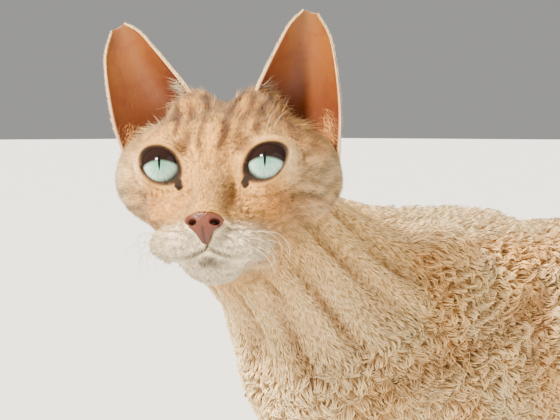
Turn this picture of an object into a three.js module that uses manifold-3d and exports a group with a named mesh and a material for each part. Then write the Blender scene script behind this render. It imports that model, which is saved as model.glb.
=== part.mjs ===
// A standing Devon Rex cat, life size, in millimetres. The cat faces -Y, its left side is +X and up is +Z.
// Its flesh is described by smooth blends of round forms. Each piece is a sphere geometry whose
// vertices are set on those forms, and thin cuts part the pieces from each other.
import * as THREE from "three";
import { mergeVertices } from "three/addons/utils/BufferGeometryUtils.js";
import Module from "manifold-3d";

const wasm = await Module();
wasm.setup();

const gap = 0.3; // between nodes that touch
const sides = { left: 1, right: -1 };

// Driving sizes of the animal.
const withersHeight = 247.5;
const headPlace = { x: 32, y: -227, z: 271 }; // the point between the two eyeballs
const headTurn = { yaw: 35, pitch: 10, roll: 2 }; // degrees: to its left, up, left side up
const eyeRadius = 10.5;
const eyeSpacing = 41.8;
const pawHeight = 22;
const elbowCut = 130;
const kneeCut = 128;
const hockCut = 80;
const forePaw = { x: 34, y: -114, stepBack: 9 };
const hindPaw = { x: 35, y: 98, stepBack: 11 };

const at = (x, y, z) => new THREE.Vector3(x, y, z);
const degrees = THREE.MathUtils.degToRad;

// Round forms: each gives the distance from a point to its surface, negative inside.

const blend = (a, b, soft) => {
  const near = Math.max(soft - Math.abs(a - b), 0) / soft;
  return Math.min(a, b) - (near * near * soft) / 4;
};

const farAway = 1e3;
const mass = (forms, soft) => (p) => forms.reduce((d, form) => blend(d, form(p), soft), farAway);
const grown = (form, by) => (p) => form(p) - by;

// An ellipsoid, tilted about the X axis through its centre.
function egg(x, y, z, halfX, halfY, halfZ, tilt = 0) {
  const c = Math.cos(degrees(tilt));
  const s = Math.sin(degrees(tilt));
  return (p) => {
    const dx = (p.x - x) / halfX;
    const dy = ((p.y - y) * c + (p.z - z) * s) / halfY;
    const dz = ((p.z - z) * c - (p.y - y) * s) / halfZ;
    const k = Math.sqrt(dx * dx + dy * dy + dz * dz);
    const g = Math.hypot(dx / halfX, dy / halfY, dz / halfZ);
    return g > 0 ? (k * (k - 1)) / g : -Math.min(halfX, halfY, halfZ);
  };
}

// A limb between two points, with a radius at each end.
function bone(from, to, fromRadius, toRadius) {
  const along = to.clone().sub(from);
  const square = along.lengthSq();
  return (p) => {
    const dx = p.x - from.x;
    const dy = p.y - from.y;
    const dz = p.z - from.z;
    const t = Math.min(Math.max((dx * along.x + dy * along.y + dz * along.z) / square, 0), 1);
    const off = Math.hypot(dx - along.x * t, dy - along.y * t, dz - along.z * t);
    return off - fromRadius - (toRadius - fromRadius) * t;
  };
}

// How far a ray from inside a form travels to its surface: found in steps, then by halving the last one.
const ray = { step: 1.5, halvings: 14 };
function castRay(form, from, direction, reach) {
  const p = from.clone();
  const inside = (length) => form(p.copy(direction).multiplyScalar(length).add(from)) < 0;
  if (!inside(0)) return 0;
  let far = ray.step;
  while (far < reach && inside(far)) far += ray.step;
  if (far >= reach) return reach;
  let near = far - ray.step;
  for (let i = 0; i < ray.halvings; i++) {
    const middle = (near + far) / 2;
    if (inside(middle)) near = middle;
    else far = middle;
  }
  return near;
}

// Solids, and their joins and cuts.

const mergeDistance = 1e-3;

// A closed geometry as a solid, with its faces turned outwards.
function solidOf(geometry) {
  const bare = geometry.clone();
  bare.deleteAttribute("normal");
  bare.deleteAttribute("uv");
  const merged = mergeVertices(bare, mergeDistance);
  const corners = [];
  for (let i = 0; i < merged.index.count; i += 3) {
    const [a, b, c] = [0, 1, 2].map((k) => merged.index.getX(i + k));
    if (a !== b && b !== c && c !== a) corners.push(a, b, c);
  }
  const make = () =>
    new wasm.Manifold(
      new wasm.Mesh({
        numProp: 3,
        vertProperties: merged.attributes.position.array,
        triVerts: new Uint32Array(corners),
      }),
    );
  const solid = make();
  if (solid.volume() > 0) return solid;
  for (let i = 0; i < corners.length; i += 3) {
    [corners[i], corners[i + 1]] = [corners[i + 1], corners[i]];
  }
  return make();
}

// The geometry of a solid's largest closed body.
function geometryOf(solid) {
  const whole = solid
    .decompose()
    .reduce((largest, piece) => (piece.volume() > largest.volume() ? piece : largest));
  const mesh = whole.getMesh();
  const geometry = new THREE.BufferGeometry();
  geometry.setAttribute("position", new THREE.BufferAttribute(mesh.vertProperties, 3));
  geometry.setIndex(new THREE.BufferAttribute(mesh.triVerts, 1));
  return geometry;
}

// A sphere geometry whose vertices go out from one centre to the surface of a form.
// Its pole points along -Y, and crowd above 1 sets its rows closer together there.
function starShell(form, centre, columns, rows, crowd = 1, reach = 160) {
  const geometry = new THREE.SphereGeometry(1, columns, rows);
  const position = geometry.attributes.position;
  const direction = new THREE.Vector3();
  for (let i = 0; i < position.count; i++) {
    direction.fromBufferAttribute(position, i);
    const polar = Math.acos(THREE.MathUtils.clamp(direction.y, -1, 1));
    const around = Math.atan2(direction.z, direction.x);
    const spread = Math.PI * Math.pow(polar / Math.PI, crowd);
    direction.set(
      Math.cos(around) * Math.sin(spread),
      -Math.cos(spread),
      Math.sin(around) * Math.sin(spread),
    );
    const length = castRay(form, centre, direction, reach);
    const vertex = direction.multiplyScalar(length).add(centre);
    position.setXYZ(i, vertex.x, vertex.y, vertex.z);
  }
  return solidOf(geometry);
}

// A sphere geometry whose rows are rings set along a spine, out to the surface of a form.
// The rings lie square to the spine, or to ringAxis where that is given, and a little closer at its ends.
const ringCrowding = 0.4;
const thinnestRing = 0.2;
function limbShell(form, spinePoints, columns, rows, { ringAxis = null, reach = 60 } = {}) {
  const first = spinePoints[0];
  const second = spinePoints[1];
  const last = spinePoints[spinePoints.length - 1];
  const beforeLast = spinePoints[spinePoints.length - 2];
  const out = first.clone().sub(second).normalize();
  const end = last.clone().sub(beforeLast).normalize();
  const startTip = out.clone().multiplyScalar(castRay(form, first, out, reach)).add(first);
  const endTip = end.clone().multiplyScalar(castRay(form, last, end, reach)).add(last);
  const spine = new THREE.CatmullRomCurve3([startTip, ...spinePoints, endTip], false, "centripetal");
  const geometry = new THREE.SphereGeometry(1, columns, rows);
  const position = geometry.attributes.position;
  const rings = [];
  for (let row = 0; row <= rows; row++) {
    const even = row / rows;
    const crowded = 0.5 - 0.5 * Math.cos(Math.PI * even);
    const u = THREE.MathUtils.lerp(even, crowded, ringCrowding);
    const axis = ringAxis ? ringAxis.clone() : spine.getTangentAt(u);
    const across = at(1, 0, 0).addScaledVector(axis, -axis.x).normalize();
    rings.push({ centre: spine.getPointAt(u), across, over: axis.clone().cross(across) });
  }
  const direction = new THREE.Vector3();
  for (let i = 0; i < position.count; i++) {
    const polar = Math.acos(THREE.MathUtils.clamp(position.getY(i), -1, 1));
    const row = Math.round((polar / Math.PI) * rows);
    const around = Math.atan2(position.getZ(i), position.getX(i));
    const { centre, across, over } = rings[row];
    const pole = row === 0 || row === rows;
    direction.copy(across).multiplyScalar(Math.cos(around)).addScaledVector(over, Math.sin(around));
    const length = pole ? 0 : Math.max(castRay(form, centre, direction, reach), thinnestRing);
    const vertex = direction.multiplyScalar(length).add(centre);
    position.setXYZ(i, vertex.x, vertex.y, vertex.z);
  }
  return solidOf(geometry);
}

// The part of a solid above or below a level, with half the gap taken off the cut face.
const above = (solid, level) => solid.trimByPlane([0, 0, 1], level + gap / 2);
const below = (solid, level) => solid.trimByPlane([0, 0, -1], -level + gap / 2);

// The parts of a solid beyond and short of a plane, which is a unit normal and its distance,
// and the part of it on one side of the cat's middle.
const beyond = (solid, [x, y, z, far]) => solid.trimByPlane([x, y, z], far + gap / 2);
const short = (solid, [x, y, z, far]) => solid.trimByPlane([-x, -y, -z], -far + gap / 2);
const onSide = (solid, s) => solid.trimByPlane([s, 0, 0], gap / 2);
const planeThrough = (normal, point) => [normal.x, normal.y, normal.z, normal.dot(point)];
const pastPlane = (p, [x, y, z, far]) => p.x * x + p.y * y + p.z * z - far;

// The head, in its own frame: the same axes, from the point between the eyeballs.

const headTurnMatrix = new THREE.Matrix4()
  .makeRotationFromEuler(
    new THREE.Euler(degrees(-headTurn.pitch), degrees(-headTurn.roll), degrees(headTurn.yaw), "ZXY"),
  )
  .setPosition(headPlace.x, headPlace.y, headPlace.z);
const headTurnBack = headTurnMatrix.clone().invert();
const onHead = (x, y, z) => at(x, y, z).applyMatrix4(headTurnMatrix);

const pair = (make) => [make(1), make(-1)];

// The neck, and the planes where it ends: behind the jaw and the skull, and before the shoulders.
const neckBase = at(0, -118, 203);
const neckTop = onHead(0, 36, -10);
const neck = bone(neckBase, neckTop, 42, 26);
const throatBlend = 12;
const napePlane = planeThrough(at(0, -54, 44).normalize(), at(0, 20, -42)); // in the head's frame
const shoulderPlane = planeThrough(at(0, -0.6, 0.8), at(0, -98, 250));

const skull = mass(
  [
    egg(0, 33, 1, 32, 36, 27), // cranium
    egg(0, 10, 7, 21, 22, 17), // forehead
    ...pair((s) => egg(s * 12.3, 19, 22.3, 10.5, 15, 11)), // root of the ear
    ...pair((s) => egg(s * 24.7, 25, 0, 21.3, 26, 19.5)), // cheek
    ...pair((s) => egg(s * 11, 0.5, -9, 8, 9, 9.5)), // beside the bridge of the nose
    ...pair((s) => egg(s * 17, 8, 10, 13, 13, 8)), // brow
    ...pair((s) => egg(s * 17, 4, -17, 12, 16, 10)), // under the eye
    egg(0, 22, -24, 21.5, 29, 16.5), // jaw angle
  ],
  9,
);
const muzzle = mass(
  [
    bone(at(0, -4, 4), at(0, -21, -20), 8.5, 6.5), // nose bridge
    egg(0, -9, -27, 17, 14, 13), // muzzle
    ...pair((s) => egg(s * 12, -10.5, -31.8, 13, 12, 8.7)), // whisker pad
    egg(0, -22, -25, 7.5, 5.5, 6), // nose
    egg(0, -6, -39, 12, 13, 8.5), // chin
  ],
  5,
);
const face = mass([skull, muzzle], 7);
const eyePlace = (s) => at((s * eyeSpacing) / 2, 0, 0);
const lid = { thickness: 1.7, blend: 4 };
const lids = pair((s) => {
  const radius = eyeRadius + lid.thickness;
  return egg((s * eyeSpacing) / 2, 0, 0, radius, radius, radius);
});
const headForm = (p) => Math.min(...lids.map((lidForm) => blend(face(p), lidForm(p), lid.blend)));
const headShell = (form) => starShell(form, at(0, 6, -12), 38, 28, 1.2);

// The opening between the lids: an oval, its outer corner raised, pushed forwards through the lids.
// Its two corners are drawn out to points.
const lidOpening = { halfLength: 8.7, halfHeight: 7.1, slant: 38, forward: 30, corner: 0.12, points: 20 };
function lidCutter(s) {
  const { halfLength, halfHeight, slant, forward, corner } = lidOpening;
  const points = [];
  for (let i = 0; i < lidOpening.points; i++) {
    const a = (i / lidOpening.points) * Math.PI * 2;
    const drawnOut = 1 + corner * Math.pow(Math.abs(Math.cos(a)), 6);
    points.push(new THREE.Vector2(Math.cos(a) * halfLength * drawnOut, Math.sin(a) * halfHeight));
  }
  const shape = new THREE.Shape(points);
  const geometry = new THREE.ExtrudeGeometry(shape, { depth: forward, bevelEnabled: false });
  geometry.rotateZ(degrees(slant));
  geometry.rotateX(Math.PI / 2);
  geometry.scale(s, 1, 1);
  geometry.translate((s * eyeSpacing) / 2, -1, 0);
  return solidOf(geometry);
}

function socketCutter(s) {
  const geometry = new THREE.SphereGeometry(eyeRadius + gap, 16, 10);
  const { x, y, z } = eyePlace(s);
  return solidOf(geometry.translate(x, y, z));
}

// The line of the mouth, seen from the front: half its width, then its height below the eyes.
const mouthLine = [
  [0, -34],
  [4, -36.2],
  [9, -38],
  [15, -38.4],
  [21, -36.6],
  [27, -33.5],
];
const mouthBack = 4; // where the corner of the mouth ends
const lips = 0.6; // the gap between the lips
const belowMouth = { halfWidth: 30, bottom: -70, length: 50 };
function chinCutter(drop) {
  const { halfWidth, bottom, length } = belowMouth;
  const leftToRight = [...mouthLine].reverse();
  const rightToLeft = mouthLine.slice(1).map(([x, z]) => [-x, z]);
  const shape = new THREE.Shape();
  shape.moveTo(-halfWidth, bottom);
  shape.lineTo(halfWidth, bottom);
  for (const [x, z] of [...leftToRight, ...rightToLeft]) shape.lineTo(x, z - drop);
  const geometry = new THREE.ExtrudeGeometry(shape, { depth: length, bevelEnabled: false });
  geometry.rotateX(Math.PI / 2);
  geometry.translate(0, mouthBack - drop, 0);
  return solidOf(geometry);
}

// The bare leather of the nose, seen from the front.
const leather = { back: -20.5, depth: 20 };
function leatherCutter(grow) {
  const shape = new THREE.Shape();
  shape.moveTo(-1.6 - grow, -33.4 - grow);
  shape.lineTo(1.6 + grow, -33.4 - grow);
  shape.lineTo(2.6 + grow, -29.5);
  shape.lineTo(8.2 + grow, -25.5);
  shape.quadraticCurveTo(9 + grow, -22.4 + grow, 6.2 + grow, -22 + grow);
  shape.lineTo(-6.2 - grow, -22 + grow);
  shape.quadraticCurveTo(-9 - grow, -22.4 + grow, -8.2 - grow, -25.5);
  shape.lineTo(-2.6 - grow, -29.5);
  const curve = { depth: leather.depth, bevelEnabled: false, curveSegments: 4 };
  const geometry = new THREE.ExtrudeGeometry(shape, curve);
  geometry.rotateX(Math.PI / 2);
  geometry.translate(0, leather.back + grow, 0);
  return solidOf(geometry);
}

const nostril = { side: 4.7, front: -28, height: -25.4, half: [2, 3.6, 1.5], slant: 35 };
function nostrilCutter(s) {
  const geometry = new THREE.SphereGeometry(1, 10, 8);
  geometry.scale(...nostril.half);
  geometry.rotateY(degrees(s * nostril.slant));
  geometry.translate(s * nostril.side, nostril.front, nostril.height);
  return solidOf(geometry);
}

function makeHead() {
  const place = at(0, 0, 0);
  const neckHere = (p) => neck(place.copy(p).applyMatrix4(headTurnMatrix));
  let whole = headShell((p) => blend(headForm(p), neckHere(p), throatBlend));
  for (const s of Object.values(sides)) {
    whole = whole.subtract(socketCutter(s)).subtract(lidCutter(s));
  }
  const bareNose = whole.intersect(leatherCutter(0));
  const noseless = whole.subtract(leatherCutter(gap));
  return {
    head: beyond(noseless, napePlane).subtract(chinCutter(0)),
    jaw: noseless.intersect(chinCutter(lips)),
    nose: bareNose.subtract(nostrilCutter(1)).subtract(nostrilCutter(-1)),
  };
}

// An eyeball, with its cornea standing a little proud in front.
const cornea = { halfAngle: 42, rise: 0.9 };
function makeEye() {
  const geometry = new THREE.SphereGeometry(eyeRadius, 16, 12);
  const position = geometry.attributes.position;
  const v = new THREE.Vector3();
  for (let i = 0; i < position.count; i++) {
    v.fromBufferAttribute(position, i);
    const fromAxis = Math.acos(THREE.MathUtils.clamp(v.y / eyeRadius, -1, 1));
    const share = Math.max(0, 1 - fromAxis / degrees(cornea.halfAngle));
    v.multiplyScalar(1 + (cornea.rise / eyeRadius) * Math.sin((share * Math.PI) / 2));
    position.setXYZ(i, v.x, v.y, v.z);
  }
  geometry.rotateX(Math.PI);
  return solidOf(geometry);
}

// An ear: a thin cup, open to the front, from a wide base to a rounded tip.
// Its edges run from the base to the tip, where they meet in a round.
const ear = {
  outerEdge: [
    at(41, 31, -6),
    at(44, 26, 8),
    at(46.4, 21, 22),
    at(46.8, 18, 38),
    at(45.4, 16, 53),
    at(41.4, 15.5, 62.6),
  ],
  innerEdge: [
    at(9, 22, 20),
    at(13.5, 14, 32),
    at(18.6, 12.5, 41),
    at(24.6, 13.5, 51),
    at(30.6, 15, 60),
    at(36.2, 15.5, 64.6),
  ],
  depth: [24, 22, 17, 11, 5, 1], // of the cup, from the base to the tip
  roundness: 0.8, // of the cup, seen from above
  thickness: 1.5,
  across: 8, // faces from edge to edge
  levels: 10, // rings from base to tip
  pivot: at(30, 20, 20),
  splay: { left: -5, right: 8 }, // degrees outward, for each ear as the cat holds it
  fold: { left: 0, right: 5 }, // degrees backward
};
function earShell(side) {
  const s = sides[side];
  const { across, levels, thickness } = ear;
  const outerEdge = new THREE.CatmullRomCurve3(ear.outerEdge);
  const innerEdge = new THREE.CatmullRomCurve3(ear.innerEdge);
  const depthAt = (t) => {
    const place = t * (ear.depth.length - 1);
    const i = Math.min(Math.floor(place), ear.depth.length - 2);
    return THREE.MathUtils.lerp(ear.depth[i], ear.depth[i + 1], place - i);
  };
  const held = new THREE.Matrix4()
    .makeTranslation(ear.pivot)
    .multiply(new THREE.Matrix4().makeRotationY(degrees(ear.splay[side])))
    .multiply(new THREE.Matrix4().makeRotationX(degrees(-ear.fold[side])))
    .multiply(new THREE.Matrix4().makeTranslation(ear.pivot.clone().negate()));
  const rings = [];
  for (let level = 0; level <= levels; level++) {
    const t = level / levels;
    const a = innerEdge.getPoint(t);
    const b = outerEdge.getPoint(t);
    const chord = b.clone().sub(a);
    const back = at(0, 0, 1).cross(chord).normalize();
    if (back.y < 0) back.negate();
    const arc = (share, depth, inset) =>
      a
        .clone()
        .addScaledVector(chord, inset + share * (1 - 2 * inset))
        .addScaledVector(back, depth * Math.pow(Math.sin(Math.PI * share), ear.roundness));
    const inset = Math.min(thickness / chord.length(), 0.3);
    const ring = [];
    for (let i = 0; i <= across; i++) ring.push(arc(i / across, depthAt(t) + thickness, 0));
    for (let i = across; i >= 0; i--) {
      const innerDepth = Math.max(depthAt(t), 0.2);
      ring.push(arc(i / across, innerDepth, inset).addScaledVector(back, -0.25));
    }
    rings.push(ring.map((p) => p.applyMatrix4(held)).map((p) => at(s * p.x, p.y, p.z)));
  }
  return solidOfRings(rings);
}

// Joins closed rings of points into one closed solid, with a flat cap at each end.
function solidOfRings(rings) {
  const size = rings[0].length;
  const corners = [];
  for (let r = 0; r + 1 < rings.length; r++) {
    for (let i = 0; i < size; i++) {
      const j = (i + 1) % size;
      corners.push(rings[r][i], rings[r][j], rings[r + 1][j]);
      corners.push(rings[r][i], rings[r + 1][j], rings[r + 1][i]);
    }
  }
  const half = size / 2;
  for (const [ring, flip] of [
    [rings[0], true],
    [rings[rings.length - 1], false],
  ]) {
    for (let i = 0; i + 1 < half; i++) {
      const strip = [
        [ring[i], ring[i + 1], ring[size - 2 - i]],
        [ring[i], ring[size - 2 - i], ring[size - 1 - i]],
      ];
      for (const face of strip) corners.push(...(flip ? face.reverse() : face));
    }
  }
  return solidOf(new THREE.BufferGeometry().setFromPoints(corners));
}

// The body, in the cat's frame.

const torso = mass(
  [
    egg(0, -66, 187, 49, 94, 58), // rib cage
    egg(0, -127, 188, 36, 36.5, 44), // fore chest
    bone(at(0, -122, withersHeight - 22), at(0, -34, withersHeight - 24), 22, 22), // withers
    egg(0, 38, 203, 39, 98, 38.5), // loin
    egg(0, 15, 181, 37, 85, 34), // belly
    egg(0, 118, 203, 42, 50, 42), // rump
  ],
  22,
);
const torsoWithNeck = (p) => blend(torso(p), neck(p), 22);
const legBlend = 16; // how softly a leg meets the trunk

const foreleg = (s, back) =>
  mass(
    [
      egg(s * 31, -104, 206, 14, 26, 44, -25), // shoulder blade
      bone(at(s * 36, -122, 184), at(s * 39, -80, 152), 18, 15), // upper arm
      egg(s * 39, -84, 172, 12, 26, 32, 20), // triceps
      bone(at(s * 39, -79 + back * 0.3, 148), at(s * 34, -94 + back * 0.8, 56), 13, 8.4), // forearm
      bone(at(s * 34, -94 + back * 0.8, 56), at(s * forePaw.x, -101 + back, 22), 8.8, 9.2), // wrist
    ],
    9,
  );

const hindleg = (s, back) =>
  mass(
    [
      bone(at(s * 27, 108, 205), at(s * 37, 64, 158), 32, 21), // thigh
      bone(at(s * 29, 128, 194), at(s * 35, 110, 136), 26, 11), // back of the thigh
      bone(at(s * 38, 66, 152), at(s * 35, 126 + back, 86), 19, 9.5), // shank
      egg(s * 36, 96, 122, 12, 15, 28, 40), // calf
      egg(s * 34, 94, 150, 14, 26, 20), // behind the knee
      bone(at(s * 35, 136 + back, 84), at(s * 35, 128 + back, 70), 8, 9), // heel
      bone(at(s * 35, 128 + back, 76), at(s * hindPaw.x, 110 + back, 22), 9, 9.5), // long foot
    ],
    9,
  );

// How far back each leg stands, in an easy uneven stance.
const foreBack = (s) => (s < 0 ? forePaw.stepBack : 0);
const hindBack = (s) => (s > 0 ? hindPaw.stepBack : 0);

const tailSpine = [
  at(0, 146, 232),
  at(0, 176, 226),
  at(2, 204, 204),
  at(5, 224, 172),
  at(8, 240, 134),
  at(9, 260, 100),
  at(7, 288, 78),
  at(3, 316, 70),
];
const tailRadius = [14, 12.5, 10.5, 9.5, 8.5, 7.5, 6.5, 5];
const tail = mass(
  tailSpine.slice(1).map((to, i) => bone(tailSpine[i], to, tailRadius[i], tailRadius[i + 1])),
  4,
);

// A paw seen from above: its pad, the wrist or ankle over it, and four toes, the middle two in front.
const toes = [
  { side: -10, forward: 12.5 },
  { side: -3.6, forward: 17 },
  { side: 3.6, forward: 17 },
  { side: 10, forward: 12.5 },
];
function pawForm(s, place, y) {
  const x = s * place.x;
  return mass(
    [
      egg(x, y, 10, 13.5, 17, 11), // pad
      bone(at(x, y + 6, 14), at(x, y + 11, 30), 10, 9.5), // wrist or ankle
      ...toes.map(({ side, forward }) => egg(x + side, y - forward, 8, 4.9, 9.5, 8.2)),
    ],
    3,
  );
}

const sunk = 1; // a blend lies this far inside what it meets, so that the nodes meet cleanly

// The curls of the coat: low rounded clumps, spread evenly over the trunk, neck, shoulders and thighs.

const clump = {
  halfLength: 14.5,
  halfWidth: 11.5,
  halfHeight: 4,
  sink: 0.6,
  spacing: 26.6,
  taper: 0.28,
  bend: { along: 2.2, side: 0.9 }, // how far it curves down with the body
  sizes: [0.85, 1.15],
  turn: 1.1, // radians, in all, away from the lie of the coat
  curl: 0.7,
  lowest: { arm: 152, thigh: 172, trunk: 140 },
};
const clumpSearch = {
  seed: 11,
  tries: 9000,
  reach: 120,
  spine: { from: -175, to: 150, height: 200, neckFrom: -140, neckHeight: 232 },
  steepestBelow: -0.7, // none under the belly
};

function seeded(seed) {
  let state = seed;
  return () => {
    state = (state * 1664525 + 1013904223) % 4294967296;
    return state / 4294967296;
  };
}

function normalOf(form, p) {
  const step = 0.5;
  const slopes = [at(step, 0, 0), at(0, step, 0), at(0, 0, step)].map(
    (offset) => form(p.clone().add(offset)) - form(p.clone().sub(offset)),
  );
  return at(...slopes).normalize();
}

// The leg, the neck or the torso that a point of the coat belongs to, and the lie of the coat there.
const legForms = {
  arm_left: foreleg(1, foreBack(1)),
  arm_right: foreleg(-1, foreBack(-1)),
  thigh_left: hindleg(1, hindBack(1)),
  thigh_right: hindleg(-1, hindBack(-1)),
};
const legReach = 3; // a leg's coat spreads this far onto the trunk
const coatLie = { leg: at(0, 0.6, -1), neck: at(0, 0.7, -0.7), torso: at(0, 1, -0.4) };
function coatOwner(point) {
  const onLeg = Object.keys(legForms).filter(
    (name) => legForms[name](point) < torsoWithNeck(point) + legReach,
  );
  if (onLeg.length > 0) return onLeg[onLeg.length - 1];
  return pastPlane(point, shoulderPlane) > 0 ? "neck" : "torso";
}
const isTrunk = (owner) => owner === "torso" || owner === "neck";

// Places for the clumps, found by seeded rays from the spine that keep their distance from each other.
function placeClumps() {
  const { tries, reach, spine } = clumpSearch;
  const random = seeded(clumpSearch.seed);
  const flesh = mass([torsoWithNeck, ...Object.values(legForms)], legBlend);
  const headAt = at(0, 0, 0);
  const places = [];
  for (let i = 0; i < tries; i++) {
    const from = at(0, THREE.MathUtils.lerp(spine.from, spine.to, random()), spine.height);
    if (from.y < spine.neckFrom) from.z = spine.neckHeight;
    const around = random() * Math.PI * 2;
    const lean = random() * 2 - 1;
    const direction = at(Math.cos(around), lean, Math.sin(around)).normalize();
    const length = castRay(flesh, from, direction, reach);
    if (length === 0 || length >= reach) continue;
    const point = direction.multiplyScalar(length).add(from);
    const normal = normalOf(flesh, point);
    if (normal.z < clumpSearch.steepestBelow) continue;
    if (headForm(headAt.copy(point).applyMatrix4(headTurnBack)) < clump.halfLength) continue;
    if (tail(point) < clump.halfLength * 2) continue;
    const owner = coatOwner(point);
    const { lowest } = clump;
    const isThigh = owner.startsWith("thigh");
    const isArm = owner.startsWith("arm");
    if (point.z < (isThigh ? lowest.thigh : isArm ? lowest.arm : lowest.trunk)) continue;
    if (places.some((other) => other.point.distanceTo(point) < clump.spacing)) continue;
    const lie = (isTrunk(owner) ? coatLie[owner] : coatLie.leg).clone();
    lie.addScaledVector(normal, -lie.dot(normal)).normalize();
    lie.applyAxisAngle(normal, (random() - 0.5) * clump.turn);
    const across = lie.clone().cross(normal);
    const size = THREE.MathUtils.lerp(...clump.sizes, random());
    const curl = (random() - 0.5) * clump.curl;
    const rim = [
      point.clone().addScaledVector(lie, clump.halfLength),
      point.clone().addScaledVector(lie, -clump.halfLength),
      point.clone().addScaledVector(across, clump.halfWidth),
      point.clone().addScaledVector(across, -clump.halfWidth),
    ];
    const onLeg = (p) => Object.values(legForms).some((leg) => leg(p) < torsoWithNeck(p));
    if (isTrunk(owner) && rim.some(onLeg)) continue;
    places.push({ owner, point, normal, lie, across, size, curl });
  }
  return places;
}

// One clump: a round, tapered lock that follows the curve of the body and bends to one side.
function clumpSolid({ point, normal, lie, across, size, curl }, grow = 0) {
  const { halfLength, halfWidth, halfHeight, sink, taper, bend } = clump;
  const geometry = new THREE.SphereGeometry(1, 6, 4);
  const position = geometry.attributes.position;
  for (let i = 0; i < position.count; i++) {
    const [x, y, z] = [position.getX(i), position.getY(i), position.getZ(i)];
    const narrow = 1 - taper * y;
    const side = (x * narrow + curl * y * y) * halfWidth * size;
    const rise = z * narrow * halfHeight - sink - bend.along * y * y - bend.side * x * x;
    const vertex = point
      .clone()
      .addScaledVector(lie, y * (halfLength * size + grow))
      .addScaledVector(across, side + x * grow)
      .addScaledVector(normal, rise + z * grow);
    position.setXYZ(i, vertex.x, vertex.y, vertex.z);
  }
  return solidOf(geometry);
}

const clumpPlaces = placeClumps();
const clumpsOf = (owner) => clumpPlaces.filter((place) => place.owner === owner);
const withClumps = (solid, owner) =>
  clumpsOf(owner).reduce((all, place) => all.add(clumpSolid(place)), solid);

// Hollows out room in a leg for the clumps of the trunk near it.
const clearance = { room: gap * 1.5, within: 60 }; // a clump's facets lie a little inside its curve
function clearOfTrunk(solid, owner) {
  const own = clumpsOf(owner);
  return clumpPlaces
    .filter((place) => isTrunk(place.owner))
    .filter(({ point }) => own.some((place) => place.point.distanceTo(point) < clearance.within))
    .reduce((rest, place) => rest.subtract(clumpSolid(place, clearance.room)), solid);
}

function makeNeck() {
  const place = at(0, 0, 0);
  const headHere = (p) => headForm(place.copy(p).applyMatrix4(headTurnBack));
  const form = (p) => blend(torsoWithNeck(p), headHere(p), throatBlend);
  const shell = limbShell(form, [neckBase, neckTop], 24, 13, { reach: 75 });
  const whole = withClumps(shell, "neck");
  const inHead = whole.transform(headTurnBack.elements);
  return beyond(short(inHead, napePlane).transform(headTurnMatrix.elements), shoulderPlane);
}

const upright = at(0, 0, -1);
const pawShell = (form, centre) => starShell(form, centre, 14, 10);

function makeForeleg(s, torsoWhole) {
  const back = foreBack(s);
  const form = mass([foreleg(s, back), grown(torsoWithNeck, -sunk)], legBlend);
  const spine = [
    at(s * 22, -94, 226),
    at(s * 32, -116, 196),
    at(s * 37, -98, 168),
    at(s * 38, -80 + back * 0.3, 146),
    at(s * 34, -94 + back * 0.8, 60),
    at(s * forePaw.x, -101 + back, 16),
  ];
  const owner = s > 0 ? "arm_left" : "arm_right";
  const shell = limbShell(form, spine, 13, 17, { ringAxis: upright, reach: 44 });
  const curly = withClumps(shell, owner);
  const cleared = clearOfTrunk(curly.subtract(torsoWhole), owner);
  const whole = short(onSide(cleared, s), shoulderPlane);
  const pawY = forePaw.y + back;
  const paw = pawShell(pawForm(s, forePaw, pawY), at(s * forePaw.x, pawY, 10));
  return {
    upper_arm: above(whole, elbowCut),
    forearm: below(above(whole, pawHeight), elbowCut),
    front_paw: below(paw, pawHeight).trimByPlane([0, 0, 1], 0),
  };
}

function makeHindleg(s, torsoWhole, tailWhole) {
  const back = hindBack(s);
  const form = mass([hindleg(s, back), grown(torso, -sunk)], legBlend);
  const spine = [
    at(s * 26, 112, 226),
    at(s * 30, 104, 196),
    at(s * 34, 94, 168),
    at(s * 37, 84, 147),
    at(s * 37, 89 + back * 0.3, 128),
    at(s * 35, 126 + back * 0.9, 88),
    at(s * 35, 124 + back, 66),
    at(s * hindPaw.x, 108 + back, 16),
  ];
  const owner = s > 0 ? "thigh_left" : "thigh_right";
  const shell = limbShell(form, spine, 13, 18, { ringAxis: upright, reach: 62 });
  const curly = withClumps(shell, owner);
  const cleared = clearOfTrunk(curly.subtract(torsoWhole), owner);
  const whole = onSide(cleared.subtract(tailWhole), s);
  const pawY = hindPaw.y + back;
  const paw = pawShell(pawForm(s, hindPaw, pawY), at(s * hindPaw.x, pawY, 10));
  return {
    thigh: above(whole, kneeCut),
    shank: below(above(whole, hockCut), kneeCut),
    hind_foot: below(above(whole, pawHeight), hockCut),
    hind_paw: below(paw, pawHeight).trimByPlane([0, 0, 1], 0),
  };
}

const tailForm = mass([tail, grown(torso, -sunk)], 10);
const tailShell = (form) => limbShell(form, tailSpine, 8, 24, { reach: 30 });
const tailCuts = { upper: 186, lower: 104 };

function makeTail(torsoWhole) {
  const whole = tailShell(tailForm).subtract(torsoWhole);
  return {
    tail_base: above(whole, tailCuts.upper),
    tail_middle: below(above(whole, tailCuts.lower), tailCuts.upper),
    tail_end: below(whole, tailCuts.lower),
  };
}

function torsoShell(form) {
  const spine = [at(0, -148, 180), at(0, -104, 192), at(0, -40, 196), at(0, 50, 203), at(0, 130, 205)];
  return limbShell(form, spine, 24, 22, { reach: 90 });
}

// The cat.

const colours = {
  coat: { color: 0xe3c9a2, roughness: 0.95 },
  face: { color: 0xe8d3b2, roughness: 0.95 },
  ear: { color: 0xd9926a, roughness: 0.7 },
  eye: { color: 0x7fb3a8, roughness: 0.1 },
  leather: { color: 0xb86a52, roughness: 0.55 },
};
const materials = {};
for (const [name, look] of Object.entries(colours)) {
  materials[name] = new THREE.MeshStandardMaterial({ ...look, metalness: 0 });
}

const cat = new THREE.Group();
const headGroup = new THREE.Group();
headGroup.applyMatrix4(headTurnMatrix);
cat.add(headGroup);

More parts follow.
